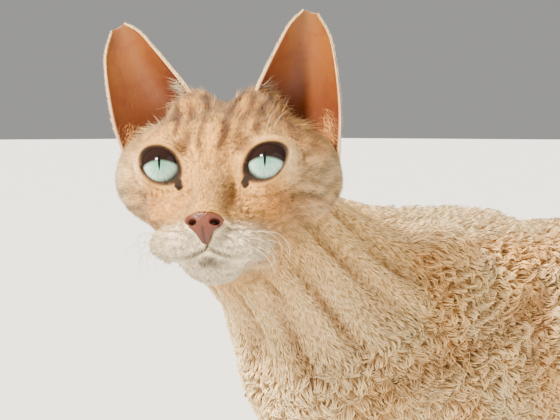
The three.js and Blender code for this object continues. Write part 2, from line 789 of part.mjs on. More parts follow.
function addNode(group, name, solid, material) {
  const mesh = new THREE.Mesh(geometryOf(solid), materials[material]);
  mesh.name = name;
  group.add(mesh);
  return mesh;
}

const headParts = makeHead();
addNode(headGroup, "head", headParts.head, "face");
addNode(headGroup, "jaw", headParts.jaw, "face");
addNode(headGroup, "nose", headParts.nose, "leather");

const headHollow = headShell(grown(headForm, gap));
for (const [name, s] of Object.entries(sides)) {
  const eye = addNode(headGroup, `eye_${name}`, makeEye(), "eye");
  eye.position.copy(eyePlace(s));
  addNode(headGroup, `ear_${name}`, earShell(name).subtract(headHollow), "ear");
}

const torsoWhole = short(withClumps(torsoShell(torsoWithNeck), "torso"), shoulderPlane);
const torsoHollow = torsoShell(grown(torsoWithNeck, gap));
const tailHollow = tailShell(grown(tailForm, gap));
const torsoCuts = { chest: -30, rump: 70 };
const ahead = (solid, y) => solid.trimByPlane([0, -1, 0], -y + gap / 2);
const behind = (solid, y) => solid.trimByPlane([0, 1, 0], y + gap / 2);
addNode(cat, "chest", ahead(torsoWhole, torsoCuts.chest), "coat");
addNode(cat, "loin", ahead(behind(torsoWhole, torsoCuts.chest), torsoCuts.rump), "coat");
addNode(cat, "rump", behind(torsoWhole, torsoCuts.rump), "coat");

addNode(cat, "neck", makeNeck(), "coat");
for (const [side, s] of Object.entries(sides)) {
  for (const leg of [makeForeleg(s, torsoHollow), makeHindleg(s, torsoHollow, tailHollow)]) {
    for (const [name, solid] of Object.entries(leg)) addNode(cat, `${name}_${side}`, solid, "coat");
  }
}
for (const [name, solid] of Object.entries(makeTail(torsoHollow))) addNode(cat, name, solid, "coat");

// The part's origin is under the middle of the whole cat, on the floor.
cat.updateMatrixWorld(true);
const reach = new THREE.Box3().setFromObject(cat, true);
const middle = reach.getCenter(new THREE.Vector3());
cat.position.set(-middle.x, -middle.y, -reach.min.z);

export default cat;
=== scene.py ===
import math

import bpy
import numpy as np
from mathutils import Matrix, Vector, kdtree


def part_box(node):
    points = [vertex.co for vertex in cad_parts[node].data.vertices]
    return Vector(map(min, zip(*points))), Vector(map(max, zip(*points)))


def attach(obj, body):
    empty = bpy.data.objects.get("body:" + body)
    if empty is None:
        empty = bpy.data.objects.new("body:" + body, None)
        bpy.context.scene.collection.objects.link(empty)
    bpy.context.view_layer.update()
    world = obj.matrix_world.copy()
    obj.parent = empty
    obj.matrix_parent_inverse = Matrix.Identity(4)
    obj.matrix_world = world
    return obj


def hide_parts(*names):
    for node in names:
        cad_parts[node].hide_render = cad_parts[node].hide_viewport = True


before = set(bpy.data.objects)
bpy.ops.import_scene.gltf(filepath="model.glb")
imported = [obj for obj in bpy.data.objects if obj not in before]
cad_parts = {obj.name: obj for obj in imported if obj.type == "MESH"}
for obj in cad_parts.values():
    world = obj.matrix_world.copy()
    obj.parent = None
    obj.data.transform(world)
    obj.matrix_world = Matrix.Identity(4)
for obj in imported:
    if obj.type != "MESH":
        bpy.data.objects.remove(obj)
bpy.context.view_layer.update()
rng = np.random.default_rng(23)
print("frame loaded")

# The cat's own frame is in millimetres: it faces -Y, its left side is +X and the floor is z = 0.
perMetre = 1000
tiny = 1e-6
outOfReach = 1e3  # farther than any place on the body
sideSigns = {"left": 1, "right": -1}
trunkCuts = {"chest": -30.0, "rump": 70.0}  # where the loin begins and ends


def centreOf(node):
    low, high = (np.array(corner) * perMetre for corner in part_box(node))
    return (low + high) / 2


shift = np.array([
    (centreOf("front_paw_left")[0] + centreOf("front_paw_right")[0]) / 2,
    centreOf("loin")[1] - (trunkCuts["chest"] + trunkCuts["rump"]) / 2,
    0.0,
])


def toScene(points):
    return (np.asarray(points, float) + shift) / perMetre


def fromScene(points):
    return np.asarray(points, float) * perMetre - shift


# The head is turned to the cat's left and tipped up a little. Turns are in degrees.
headPose = {"place": (32.0, -227.0, 271.0), "yaw": 35.0, "pitch": 10.0, "roll": 2.0}
headAxes = np.array(
    Matrix.Rotation(math.radians(headPose["yaw"]), 3, "Z")
    @ Matrix.Rotation(math.radians(-headPose["pitch"]), 3, "X")
    @ Matrix.Rotation(math.radians(-headPose["roll"]), 3, "Y")
)


def toHead(points):
    return (points - np.array(headPose["place"])) @ headAxes


def fromHead(points):
    return points @ headAxes.T + np.array(headPose["place"])


def unit(vectors):
    return vectors / np.maximum(np.linalg.norm(vectors, axis=-1, keepdims=True), tiny)


def flattened(vectors, normals):
    return vectors - normals * np.sum(vectors * normals, axis=-1, keepdims=True)


def smoothStep(low, high, value):
    share = np.clip((value - low) / (high - low), 0, 1)
    return share * share * (3 - 2 * share)


def bell(offset, half):
    return np.exp(-((offset / half) ** 2))


# Round forms. Each gives the distance from many points to its surface, negative inside.


def egg(points, x, y, z, halfX, halfY, halfZ, tilt=0.0):
    tiltCos, tiltSin = math.cos(math.radians(tilt)), math.sin(math.radians(tilt))
    forward, upward = points[:, 1] - y, points[:, 2] - z
    across = (points[:, 0] - x) / halfX
    along = (forward * tiltCos + upward * tiltSin) / halfY
    over = (upward * tiltCos - forward * tiltSin) / halfZ
    reach = np.sqrt(across ** 2 + along ** 2 + over ** 2)
    steepness = np.sqrt((across / halfX) ** 2 + (along / halfY) ** 2 + (over / halfZ) ** 2)
    return reach * (reach - 1) / np.maximum(steepness, tiny)


def alongBone(points, start, end):
    start, end = np.array(start, float), np.array(end, float)
    along = end - start
    share = np.clip((points - start) @ along / (along @ along), 0, 1)
    return share, np.linalg.norm(points - start - share[:, None] * along, axis=1)


def bone(points, start, end, startRadius, endRadius):
    share, away = alongBone(points, start, end)
    return away - startRadius - (endRadius - startRadius) * share


def blend(first, second, soft):
    near = np.maximum(soft - np.abs(first - second), 0) / soft
    return np.minimum(first, second) - near * near * soft / 4


def formsDistance(points, forms, soft):
    whole = None
    for form in forms.values():
        distance = bone(points, *form) if isinstance(form[0], tuple) else egg(points, *form)
        whole = distance if whole is None else blend(whole, distance, soft)
    return whole


# The forms of the flesh, out to the surface of the coat. An egg is its centre, half sizes and tilt,
# a bone its two ends and their radii.

eye = {"radius": 10.5, "side": 20.9, "lid": 1.7}  # how far to the side, and how thick the lid is

skull = {
    "cranium": (0, 33, 1, 32, 36, 27),
    "forehead": (0, 10, 7, 21, 22, 17),
    "jawAngle": (0, 22, -24, 21.5, 29, 16.5),
}
for side, sign in sideSigns.items():
    skull["earRoot_" + side] = (sign * 12.3, 19, 22.3, 10.5, 15, 11)
    skull["cheek_" + side] = (sign * 24.7, 25, 0, 21.3, 26, 19.5)
    skull["besideBridge_" + side] = (sign * 11, 0.5, -9, 8, 9, 9.5)
    skull["brow_" + side] = (sign * 17, 8, 10, 13, 13, 8)
    skull["underEye_" + side] = (sign * 17, 4, -17, 12, 16, 10)

muzzle = {
    "bridge": ((0, -4, 4), (0, -21, -20), 8.5, 6.5),
    "snout": (0, -9, -27, 17, 14, 13),
    "padLeft": (12, -10.5, -31.8, 13, 12, 8.7),
    "padRight": (-12, -10.5, -31.8, 13, 12, 8.7),
    "nose": (0, -22, -25, 7.5, 5.5, 6),
    "chin": (0, -6, -39, 12, 13, 8.5),
}

neckBase = (0.0, -118.0, 203.0)
neckTop = tuple(fromHead(np.array([0.0, 36.0, -10.0])))
neck = {"whole": (neckBase, neckTop, 42, 26)}

torso = {
    "ribCage": (0, -66, 187, 49, 94, 58),
    "foreChest": (0, -127, 188, 36, 36.5, 44),
    "withers": ((0, -122, 225.5), (0, -34, 223.5), 22, 22),
    "loin": (0, 38, 203, 39, 98, 38.5),
    "belly": (0, 15, 181, 37, 85, 34),
    "rump": (0, 118, 203, 42, 50, 42),
}

forePaw = {"x": 34, "y": -114}
hindPaw = {"x": 35, "y": 98}
# The four toes of a paw, side by side. The middle two reach furthest forward.
toes = {"sides": (-10, -3.6, 3.6, 10), "forward": (12.5, 17, 17, 12.5)}


def forelegForms(sign, back):
    return {
        "shoulderBlade": (sign * 31, -104, 206, 14, 26, 44, -25),
        "upperArm": ((sign * 36, -122, 184), (sign * 39, -80, 152), 18, 15),
        "triceps": (sign * 39, -84, 172, 12, 26, 32, 20),
        "forearm": ((sign * 39, -79 + back * 0.3, 148), (sign * 34, -94 + back * 0.8, 56), 13, 8.4),
        "wrist": ((sign * 34, -94 + back * 0.8, 56), (sign * forePaw["x"], -101 + back, 22), 8.8, 9.2),
    }


def hindlegForms(sign, back):
    return {
        "thigh": ((sign * 27, 108, 205), (sign * 37, 64, 158), 32, 21),
        "backOfThigh": ((sign * 29, 128, 194), (sign * 35, 110, 136), 26, 11),
        "shank": ((sign * 38, 66, 152), (sign * 35, 126 + back, 86), 19, 9.5),
        "calf": (sign * 36, 96, 122, 12, 15, 28, 40),
        "behindKnee": (sign * 34, 94, 150, 14, 26, 20),
        "heel": ((sign * 35, 136 + back, 84), (sign * 35, 128 + back, 70), 8, 9),
        "longFoot": ((sign * 35, 128 + back, 76), (sign * hindPaw["x"], 110 + back, 22), 9, 9.5),
    }


def pawForms(sign, x, y):
    forms = {
        "pad": (sign * x, y, 10, 13.5, 17, 11),
        "ankle": ((sign * x, y + 6, 14), (sign * x, y + 11, 30), 10, 9.5),
    }
    for number, (side, forward) in enumerate(zip(toes["sides"], toes["forward"])):
        forms["toe" + str(number)] = (sign * x + side, y - forward, 8, 4.9, 9.5, 8.2)
    return forms


legs = {}
for name, sign, foreBack, hindBack in (("left", 1, 0, 11), ("right", -1, 9, 0)):
    legs["fore_" + name] = (
        forelegForms(sign, foreBack),
        pawForms(sign, forePaw["x"], forePaw["y"] + foreBack),
    )
    legs["hind_" + name] = (
        hindlegForms(sign, hindBack),
        pawForms(sign, hindPaw["x"], hindPaw["y"] + hindBack),
    )

tailSpine = [
    (0, 146, 232), (0, 176, 226), (2, 204, 204), (5, 224, 172),
    (8, 240, 134), (9, 260, 100), (7, 288, 78), (3, 316, 70),
]
tailRadius = [14, 12.5, 10.5, 9.5, 8.5, 7.5, 6.5, 5]
tail = {
    "part" + str(part): (*tailSpine[part:part + 2], *tailRadius[part:part + 2])
    for part in range(len(tailSpine) - 1)
}

# How softly the forms of a part, and then the parts, flow into each other.
softness = {
    "skull": 9, "muzzle": 5, "face": 7, "lids": 4, "torso": 22, "leg": 9, "paw": 3, "tail": 4,
    "neckIntoTorso": 22, "headIntoNeck": 12, "pawIntoLeg": 4, "legIntoTorso": 14, "tailIntoRump": 10,
}


def faceDistance(local):
    bones = formsDistance(local, skull, softness["skull"])
    face = blend(bones, formsDistance(local, muzzle, softness["muzzle"]), softness["face"])
    lids = []
    for sign in sideSigns.values():
        away = np.linalg.norm(local - np.array([sign * eye["side"], 0, 0]), axis=1)
        lids.append(blend(face, away - eye["radius"] - eye["lid"], softness["lids"]))
    return np.minimum(lids[0], lids[1])


def partDistances(points):
    parts = {
        "head": faceDistance(toHead(points)),
        "neck": formsDistance(points, neck, 1),
        "torso": formsDistance(points, torso, softness["torso"]),
        "tail": formsDistance(points, tail, softness["tail"]),
    }
    for name, (leg, paw) in legs.items():
        parts[name] = formsDistance(points, leg, softness["leg"])
        parts["paw_" + name] = formsDistance(points, paw, softness["paw"])
    return parts


def fleshDistance(points, parts=None):
    parts = parts or partDistances(points)
    whole = blend(parts["torso"], parts["neck"], softness["neckIntoTorso"])
    whole = blend(whole, parts["head"], softness["headIntoNeck"])
    for name in legs:
        leg = blend(parts[name], parts["paw_" + name], softness["pawIntoLeg"])
        whole = blend(whole, leg, softness["legIntoTorso"])
    return blend(whole, parts["tail"], softness["tailIntoRump"])


# How deep the coat is on each part, and its locks' size, lift, side sway and distance apart.
coat = {
    "head": {"depth": 1.2, "length": 3.6, "width": 0.44, "lift": 1.85, "sway": 0.0, "spacing": 0.5},
    "neck": {"depth": 1.7, "length": 3.8, "width": 0.5, "lift": 1.6, "sway": 0.15, "spacing": 0.86},
    "torso": {"depth": 3.8, "length": 7.0, "width": 0.72, "lift": 3.6, "sway": 0.9, "spacing": 1.28},
    "leg": {"depth": 1.8, "length": 5.4, "width": 0.85, "lift": 1.3, "sway": 0.5, "spacing": 1.55},
    "paw": {"depth": 1.0, "length": 3.4, "width": 0.6, "lift": 0.7, "sway": 0.1, "spacing": 1.1},
    "tail": {"depth": 1.8, "length": 5.4, "width": 0.85, "lift": 1.4, "sway": 0.5, "spacing": 1.5},
}
# The heights between which a leg turns into the trunk and a paw into the leg.
regionEdges = {"legTop": (95, 160), "pawTop": (22, 42), "soft": 4.0}


def regionShares(points, parts):
    upper = smoothStep(*regionEdges["legTop"], points[:, 2])
    limb = np.min([parts[name] for name in legs], axis=0)
    paws = np.min([parts["paw_" + name] for name in legs], axis=0)
    near = {
        "head": parts["head"],
        "neck": parts["neck"] + 1,
        "torso": np.minimum(parts["torso"], np.where(upper > 0.5, limb + 1, outOfReach)),
        "leg": limb + 30 * upper,
        "paw": paws + 25 * smoothStep(*regionEdges["pawTop"], points[:, 2]) - 3,
        "tail": parts["tail"],
    }
    soft = regionEdges["soft"]
    weights = {name: np.exp(-np.clip(distance, -30, 60) / soft) for name, distance in near.items()}
    total = np.sum(list(weights.values()), axis=0)
    return {name: weight / total for name, weight in weights.items()}


def sharesAt(points):
    return regionShares(points, partDistances(points))


def mixed(shares, key):
    return np.sum([shares[name] * coat[name][key] for name in shares], axis=0)


# Places on the face, in the head's frame, where there is no coat.

# The opening between the lids slants upwards to the outside and is pointed at both ends.
opening = {"halfLength": 8.7, "halfHeight": 7.1, "slant": 38.0, "pointed": 0.12, "front": 2, "away": 9.0}
slantCos = math.cos(math.radians(opening["slant"]))
slantSin = math.sin(math.radians(opening["slant"]))


def openingReach(local, sign):
    side = sign * (local[:, 0] - sign * eye["side"])
    up = local[:, 2]
    along = (side * slantCos + up * slantSin) / opening["halfLength"]
    across = (up * slantCos - side * slantSin) / opening["halfHeight"]
    reach = np.sqrt(along ** 2 + across ** 2)
    corner = np.abs(along) / np.maximum(reach, tiny)
    reach = reach / (1 + opening["pointed"] * corner ** 6)
    return np.where(local[:, 1] < opening["front"], reach, opening["away"])


def nearerOpening(local):
    return np.minimum(openingReach(local, 1), openingReach(local, -1))


# The bare leather of the nose: half its width at each height.
leather = {
    "outline": [
        (0, -33.9), (1.3, -33.0), (2.7, -30.6), (4.4, -28.3),
        (7.2, -26.6), (7.9, -24.6), (6.4, -22.6), (3.0, -21.8), (0, -21.6),
    ],
    "low": -33.9,
    "high": -21.5,
    "front": -14,
}


def leatherReach(local):
    outline = np.array(leather["outline"])
    order = np.argsort(outline[:, 1])
    half = np.interp(local[:, 2], outline[order, 1], outline[order, 0], left=0, right=0)
    inside = (local[:, 2] > leather["low"]) & (local[:, 2] < leather["high"])
    inside &= local[:, 1] < leather["front"]
    return np.where(inside, half - np.abs(local[:, 0]), -2.0)


# The line of the mouth: its height at each distance from the middle of the face.
mouthLine = {
    "side": [0, 4, 9, 15, 21, 26],
    "height": [-34.5, -36.6, -38.2, -38.4, -36.8, -34.0],
    "back": 2.0,
    "corner": (28, 25),
}


def mouthOffset(local):
    line = np.interp(np.abs(local[:, 0]), mouthLine["side"], mouthLine["height"])
    front = smoothStep(mouthLine["back"] + 3, mouthLine["back"] - 3, local[:, 1])
    front = front * smoothStep(*mouthLine["corner"], np.abs(local[:, 0]))
    return local[:, 2] - line, front


def bareness(points):
    local = toHead(points)
    bare = smoothStep(1.09, 1.03, nearerOpening(local))
    bare = np.maximum(bare, smoothStep(-0.6, 0.2, leatherReach(local)))
    away, front = mouthOffset(local)
    lips = front * np.exp(-((away / 1.3) ** 4)) * smoothStep(19, 13, np.abs(local[:, 0]))
    return np.maximum(bare, lips)


# Folds of the loose skin, the same on both sides: a line down each, its width and its depth.
folds = {
    "shoulder": {
        "line": [
            (38, -142, 171), (47, -137, 177), (54, -126, 184), (53, -106, 188),
            (52, -85, 193), (47, -59.5, 202), (41.5, -35, 213),
        ],
        "width": 5.5,
        "depth": 6.5,
    },
    "flank": {
        "line": [(40, -26, 214), (44, -37, 205), (48, -46, 193), (49, -53, 180), (49, -59, 165)],
        "width": 5.0,
        "depth": 5.5,
    },
}
# Soft ridges run down both sides of the neck. They fade out near its ends and along its top and bottom.
neckRidges = {
    "around": 12.0, "bend": 1.2, "bendLength": 17, "height": 2.5,
    "low": (8, 34), "high": (108, 90), "sides": (0.5, 1.2),
}


def awayFromLine(points, line):
    return np.min([alongBone(points, start, end)[1] for start, end in zip(line[:-1], line[1:])], axis=0)


def mirroredPoints(points):
    return np.stack([np.abs(points[:, 0]), points[:, 1], points[:, 2]], 1)


def foldShare(points):
    mirrored = mirroredPoints(points)
    return [bell(awayFromLine(mirrored, fold["line"]), fold["width"]) for fold in folds.values()]


def neckRidge(points, shares):
    axis = np.subtract(neckTop, neckBase)
    axis = axis / np.linalg.norm(axis)
    offset = points - np.array(neckBase)
    along = offset @ axis
    across = np.cross(axis, np.array([0.0, 0.0, 1.0]))
    across /= np.linalg.norm(across)
    over = np.cross(across, axis)
    around = np.arctan2(offset @ across, offset @ over)
    bend = neckRidges["bend"] * np.sin(along / neckRidges["bendLength"])
    wave = 0.75 * np.sin(around * neckRidges["around"] + bend) + 0.35 * np.sin(around * 21 + 2)
    reach = smoothStep(*neckRidges["low"], along) * smoothStep(*neckRidges["high"], along)
    onNeck = shares["neck"] + 0.8 * (shares["torso"] + shares["leg"]) * reach + 0.3 * shares["head"] * reach
    return np.clip(onNeck, 0, 1) * smoothStep(*neckRidges["sides"], np.abs(around)) * wave


def skinDistance(points):
    parts = partDistances(points)
    shares = regionShares(points, parts)
    nearEyes = 0.8 * smoothStep(1.9, 1.2, nearerOpening(toHead(points))) * shares["head"]
    depth = mixed(shares, "depth") * (1 - nearEyes)
    for share, fold in zip(foldShare(points), folds.values()):
        depth = depth + fold["depth"] * share
    depth = depth - neckRidges["height"] * neckRidge(points, shares)
    return fleshDistance(points, parts) + depth


def slopeOf(distance, points, step=0.4):
    base = distance(points)
    slope = np.empty_like(points)
    for axis in range(3):
        moved = points.copy()
        moved[:, axis] += step
        slope[:, axis] = (distance(moved) - base) / step
    return base, unit(slope)


# Meshes from simple round forms, and from arrays for the many locks.


def choose(obj):
    bpy.ops.object.select_all(action="DESELECT")
    obj.select_set(True)
    bpy.context.view_layer.objects.active = obj


def applyModifiers(obj):
    choose(obj)
    for modifier in list(obj.modifiers):
        bpy.ops.object.modifier_apply(modifier=modifier.name)


def nameObject(obj, name):
    obj.name = name
    obj.data.name = name
    return obj


def joinAll(objects, name):
    choose(objects[0])
    for obj in objects:
        obj.select_set(True)
    bpy.ops.object.join()
    return nameObject(bpy.context.object, name)


def shadeSmooth(obj):
    obj.data.polygons.foreach_set("use_smooth", np.ones(len(obj.data.polygons), bool))


def valuesOf(items, key, width=3, kind=float):
    values = np.empty(len(items) * width, kind)
    items.foreach_get(key, values)
    return values.reshape(-1, width)


def pointsOf(obj):
    return fromScene(valuesOf(obj.data.vertices, "co"))


def setPoints(obj, points):
    obj.data.vertices.foreach_set("co", toScene(points).ravel())
    obj.data.update()


def normalsOf(obj):
    return valuesOf(obj.data.vertices, "normal")


def meshFromArrays(name, points, triangles):
    mesh = bpy.data.meshes.new(name)
    mesh.vertices.add(len(points))
    mesh.vertices.foreach_set("co", toScene(points).astype(np.float32).ravel())
    mesh.loops.add(len(triangles) * 3)
    mesh.loops.foreach_set("vertex_index", triangles.astype(np.int32).ravel())
    mesh.polygons.add(len(triangles))
    mesh.polygons.foreach_set("loop_start", np.arange(0, len(triangles) * 3, 3, dtype=np.int32))
    mesh.polygons.foreach_set("use_smooth", np.full(len(triangles), True))
    mesh.update(calc_edges=True)
    obj = bpy.data.objects.new(name, mesh)
    bpy.context.scene.collection.objects.link(obj)
    return obj


def setColour(obj, name, colours):
    layer = obj.data.attributes.new(name, "FLOAT_COLOR", "POINT")
    rgba = np.ones((len(obj.data.vertices), 4), np.float32)
    rgba[:, :3] = colours
    layer.data.foreach_set("color", rgba.ravel())


def setValue(obj, name, values):
    layer = obj.data.attributes.new(name, "FLOAT", "POINT")
    layer.data.foreach_set("value", np.asarray(values, np.float32))


def smartUnwrap(obj):
    choose(obj)
    while obj.data.uv_layers:
        obj.data.uv_layers.remove(obj.data.uv_layers[0])
    obj.data.uv_layers.new(name="OFBake")
    bpy.ops.object.mode_set(mode="EDIT")
    bpy.ops.mesh.select_all(action="SELECT")
    bpy.ops.uv.smart_project(angle_limit=math.radians(66), island_margin=0.002)
    bpy.ops.object.mode_set(mode="OBJECT")


# The skin: one closed surface over the whole animal, just under the coat.

skinPiece = {
    "voxel": 2.6,  # a smaller one keeps finer forms
    "headInset": 1.2, "trunkInset": 2.5, "tailInset": 1.0, "legInset": 1.5, "pawInset": 0.8,
    "furthestStep": 4,  # how far a point may move at once
}


def addForm(form, inset, turn=None):
    if isinstance(form[0], tuple):
        start, end, startRadius, endRadius = form
        apart = min(9, 0.6 * min(startRadius, endRadius))
        steps = max(2, int(np.linalg.norm(np.subtract(end, start)) / apart))
        eggs = []
        for share in np.linspace(0, 1, steps + 1):
            radius = startRadius + (endRadius - startRadius) * share
            eggs.append((*np.add(start, np.subtract(end, start) * share), radius, radius, radius, 0.0))
    else:
        eggs = [form if len(form) == 7 else (*form, 0.0)]
    made = []
    for *middle, halfX, halfY, halfZ, tilt in eggs:
        bpy.ops.mesh.primitive_uv_sphere_add(segments=24, ring_count=16, radius=1 / perMetre)
        ball = bpy.context.object
        place = Matrix.Translation(middle) @ Matrix.Rotation(math.radians(tilt), 4, "X")
        if turn is not None:
            place = turn @ place
        ball.matrix_world = (
            Matrix.Translation(toScene(place.to_translation()))
            @ place.to_3x3().to_4x4()
            @ Matrix.Diagonal((*[max(half - inset, 1.5) for half in (halfX, halfY, halfZ)], 1))
        )
        made.append(ball)
    return made


def makeSkinBlank():
    lidRadius = eye["radius"] + eye["lid"]
    lids = {
        "left": (eye["side"], 0, 0, lidRadius, lidRadius, lidRadius),
        "right": (-eye["side"], 0, 0, lidRadius, lidRadius, lidRadius),
    }
    headTurn = Matrix(headAxes.tolist()).to_4x4()
    headTurn.translation = Vector(headPose["place"])
    plans = [
        (skull, "headInset", headTurn),
        (muzzle, "headInset", headTurn),
        (lids, "headInset", headTurn),
        (neck, "trunkInset", None),
        (torso, "trunkInset", None),
        (tail, "tailInset", None),
    ]
    for leg, paw in legs.values():
        plans += [(leg, "legInset", None), (paw, "pawInset", None)]
    balls = []
    for forms, inset, turn in plans:
        for form in forms.values():
            balls += addForm(form, skinPiece[inset], turn)
    blank = joinAll(balls, "skin")
    bpy.ops.object.transform_apply(location=True, rotation=True, scale=True)
    remesh = blank.modifiers.new("whole", "REMESH")
    remesh.mode = "VOXEL"
    remesh.voxel_size = skinPiece["voxel"] / perMetre
    applyModifiers(blank)
    return blank


def drawToSkin(obj, times, chosen=None):
    points = pointsOf(obj)
    chosen = np.arange(len(points)) if chosen is None else chosen
    for _ in range(times):
        distance, slope = slopeOf(skinDistance, points[chosen])
        furthest = skinPiece["furthestStep"]
        points[chosen] -= slope * np.clip(distance, -furthest, furthest)[:, None]
    setPoints(obj, points)


def evenOut(obj, times):
    smoother = obj.modifiers.new("even", "SMOOTH")
    smoother.factor = 0.5
    smoother.iterations = times
    applyModifiers(obj)


skin = makeSkinBlank()
print("skin remeshed", len(skin.data.polygons))
drawToSkin(skin, 2)
evenOut(skin, 4)
drawToSkin(skin, 2)


def subdivideWhere(obj, wanted):
    choose(obj)
    mesh = obj.data
    for items in (mesh.polygons, mesh.edges, mesh.vertices):
        items.foreach_set("select", np.zeros(len(items), bool))
    mesh.polygons.foreach_set("select", wanted(fromScene(valuesOf(mesh.polygons, "center"))))
    bpy.ops.object.mode_set(mode="EDIT")
    bpy.ops.mesh.select_mode(type="FACE")
    bpy.ops.mesh.subdivide(number_cuts=1)
    bpy.ops.object.mode_set(mode="OBJECT")


def onWholeHead(centres):
    return np.linalg.norm(toHead(centres) - np.array([0, 16, -6]), axis=1) < 58


def onFace(centres):
    local = toHead(centres)
    return (local[:, 1] < 9) & (local[:, 2] > -50) & (local[:, 2] < 16)


def onEyesAndMouth(centres):
    local = toHead(centres)
    away, front = mouthOffset(local)
    return (nearerOpening(local) < 1.5) | ((np.abs(away) < 3) & (front > 0.3))


subdivideWhere(skin, onWholeHead)
subdivideWhere(skin, onFace)
subdivideWhere(skin, onEyesAndMouth)
drawToSkin(skin, 2, np.nonzero(onWholeHead(pointsOf(skin)))[0])
print("skin fitted", len(skin.data.polygons))

# Fine forms of the face: sockets, lids, lips, the cleft under the nose and the seat of its leather.
faceDetail = {
    "socketDepth": 2.2, "lidRise": 0.3, "lidCrease": 0.7,
    "mouthDepth": 1.2, "lipRise": 0.4, "cleftDepth": 0.9, "noseSeat": 4.5,
}


def sculptFace(local, normals):
    moved = local.copy()
    dark = np.zeros(len(local))
    for sign in sideSigns.values():
        reach = openingReach(local, sign)
        offset = moved - np.array([sign * eye["side"], 0, 0])
        away = np.linalg.norm(offset, axis=1)
        target = np.where(reach < 3, eye["radius"] - faceDetail["socketDepth"], away)
        crease = bell(reach - 1.62, 0.12) * smoothStep(0, 3, local[:, 2])
        inward = (target - away) * smoothStep(1.04, 0.96, reach)
        lidRise = faceDetail["lidRise"] * bell(reach - 1.14, 0.09) - faceDetail["lidCrease"] * crease
        for rise in (inward, lidRise):
            moved += unit(offset) * rise[:, None]
        dark = np.maximum(dark, smoothStep(1.07, 1.02, reach))
    away, front = mouthOffset(local)
    side = np.abs(local[:, 0])
    cut = bell(away, 0.75) * front
    upperLip = bell(away - 1.9, 1.2) * front * smoothStep(24, 14, side)
    lowerLip = bell(away + 1.6, 1.3) * front * smoothStep(22, 8, side)
    lips = faceDetail["lipRise"] * upperLip - faceDetail["lipRise"] * lowerLip
    below = smoothStep(-33, -34, local[:, 2]) * smoothStep(-36, -35, local[:, 2])
    cleft = bell(side, 0.6) * below * (local[:, 1] < leather["front"])
    seat = smoothStep(-0.3, 1.4, leatherReach(local))
    mouth = lips - faceDetail["mouthDepth"] * cut
    for rise in (mouth, -faceDetail["cleftDepth"] * cleft, -faceDetail["noseSeat"] * seat):
        moved += normals * rise[:, None]
    # The lids' edges are dark skin of their own; the mouth line and the cleft under the nose are darkened as
    # painted shade in their grooves.
    dark = np.maximum(dark, 0.75 * np.maximum(cut * smoothStep(17, 7, side), cleft))
    return moved, dark


points = pointsOf(skin)
local = toHead(points)
face = np.nonzero((local[:, 1] < 14) & (np.linalg.norm(local, axis=1) < 62))[0]
sculpted, darkFace = sculptFace(local[face], normalsOf(skin)[face] @ headAxes)
points[face] = fromHead(sculpted)
dark = np.zeros(len(points))
dark[face] = darkFace
setPoints(skin, points)
shadeSmooth(skin)
smartUnwrap(skin)
print("skin sculpted and unwrapped")


# Colours of the coat, by place. They are the same on the skin and on the locks.

tones = {
    "cream": (0.93, 0.64, 0.27),
    "apricot": (0.77, 0.35, 0.075),
    "root": (0.40, 0.17, 0.045),
    "white": (0.92, 0.83, 0.62),
    "ivory": (0.98, 0.78, 0.44),
    "face": (0.62, 0.345, 0.10),
    "stripe": (0.17, 0.070, 0.022),
    # The chin's darker spot: partly grey fur, partly painted shade under the mouth.
    "chinGreyAndShade": (0.10, 0.075, 0.06),  # the spot on the chin
    "rim": (0.025, 0.014, 0.010),
}
# Hairs darken towards their roots: partly their own darker roots, partly painted shade deep in the coat.
rootToneAndDepthShade = (0.45, 0.30, 0.19)  # what is left of a colour at the root of a hair


def ripple(points, scale, seed):
    draws = np.random.default_rng(seed)
    total = np.zeros(len(points))
    for _ in range(5):
        way = draws.normal(size=3)
        way /= np.linalg.norm(way)
        turns = points @ way * (2 * math.pi / scale) * draws.uniform(0.7, 1.4)
        total += np.sin(turns + draws.uniform(0, 6.3))
    return total / 2.6


# Streaks of lighter and darker hairs run back from the nose. On the forehead darker stripes, and
# behind the eyes three bars a side, follow them.
streaks = {"from": (0.0, -24.0, -24.0), "radius": 40, "drift": 0.22, "coarse": 3.0, "fine": 1.7}
foreheadStripes = [
    {"side": 4.2, "half": 1.7, "low": 1, "strength": 1.7},
    {"side": 10.4, "half": 1.9, "low": 6, "strength": 1.35},
    {"side": 16.0, "half": 1.8, "low": 9, "strength": 1.55},
]
cheekBars = [
    {"height": -3.0, "slope": 0.30, "half": 1.7, "first": 30},
    {"height": -11.0, "slope": 0.10, "half": 2.0, "first": 27},
    {"height": -19.0, "slope": -0.12, "half": 1.8, "first": 26},
]


def hairStreaks(local):
    away = local - np.array(streaks["from"])
    around = unit(away) * streaks["radius"]
    around[:, 2] += streaks["drift"] * np.linalg.norm(away, axis=1)
    return 0.65 * ripple(around, streaks["coarse"], 55) + 0.5 * ripple(around, streaks["fine"], 56)


def stripesOnHead(local):
    side, up, front = np.abs(local[:, 0]), local[:, 2], -local[:, 1]
    wander = 0.7 * np.sin(up / 4.5) + 0.14 * (up - 12) + 0.8 * ripple(local, 17, 51)
    uneven = 0.72 + 0.42 * ripple(local, 13, 52)
    lines = np.zeros(len(local))
    for stripe in foreheadStripes:
        line = bell(side - stripe["side"] - wander, stripe["half"])
        line *= stripe["strength"] * uneven * smoothStep(stripe["low"], stripe["low"] + 6, up)
        lines = np.maximum(lines, line)
    lines *= smoothStep(-34, -12, front)
    behind = 0.6 * smoothStep(-46, -28, front)
    for bar in cheekBars:
        line = bell(up - bar["height"] + bar["slope"] * (side - 28), bar["half"])
        lines = np.maximum(lines, behind * line * smoothStep(bar["first"], bar["first"] + 5, side))
    return lines


# Rows of small dark spots on the pads of the muzzle, where the whiskers stand.
padRows = {"first": (9.5, -29.3), "apart": (2.9, 3.3), "slope": 0.12}


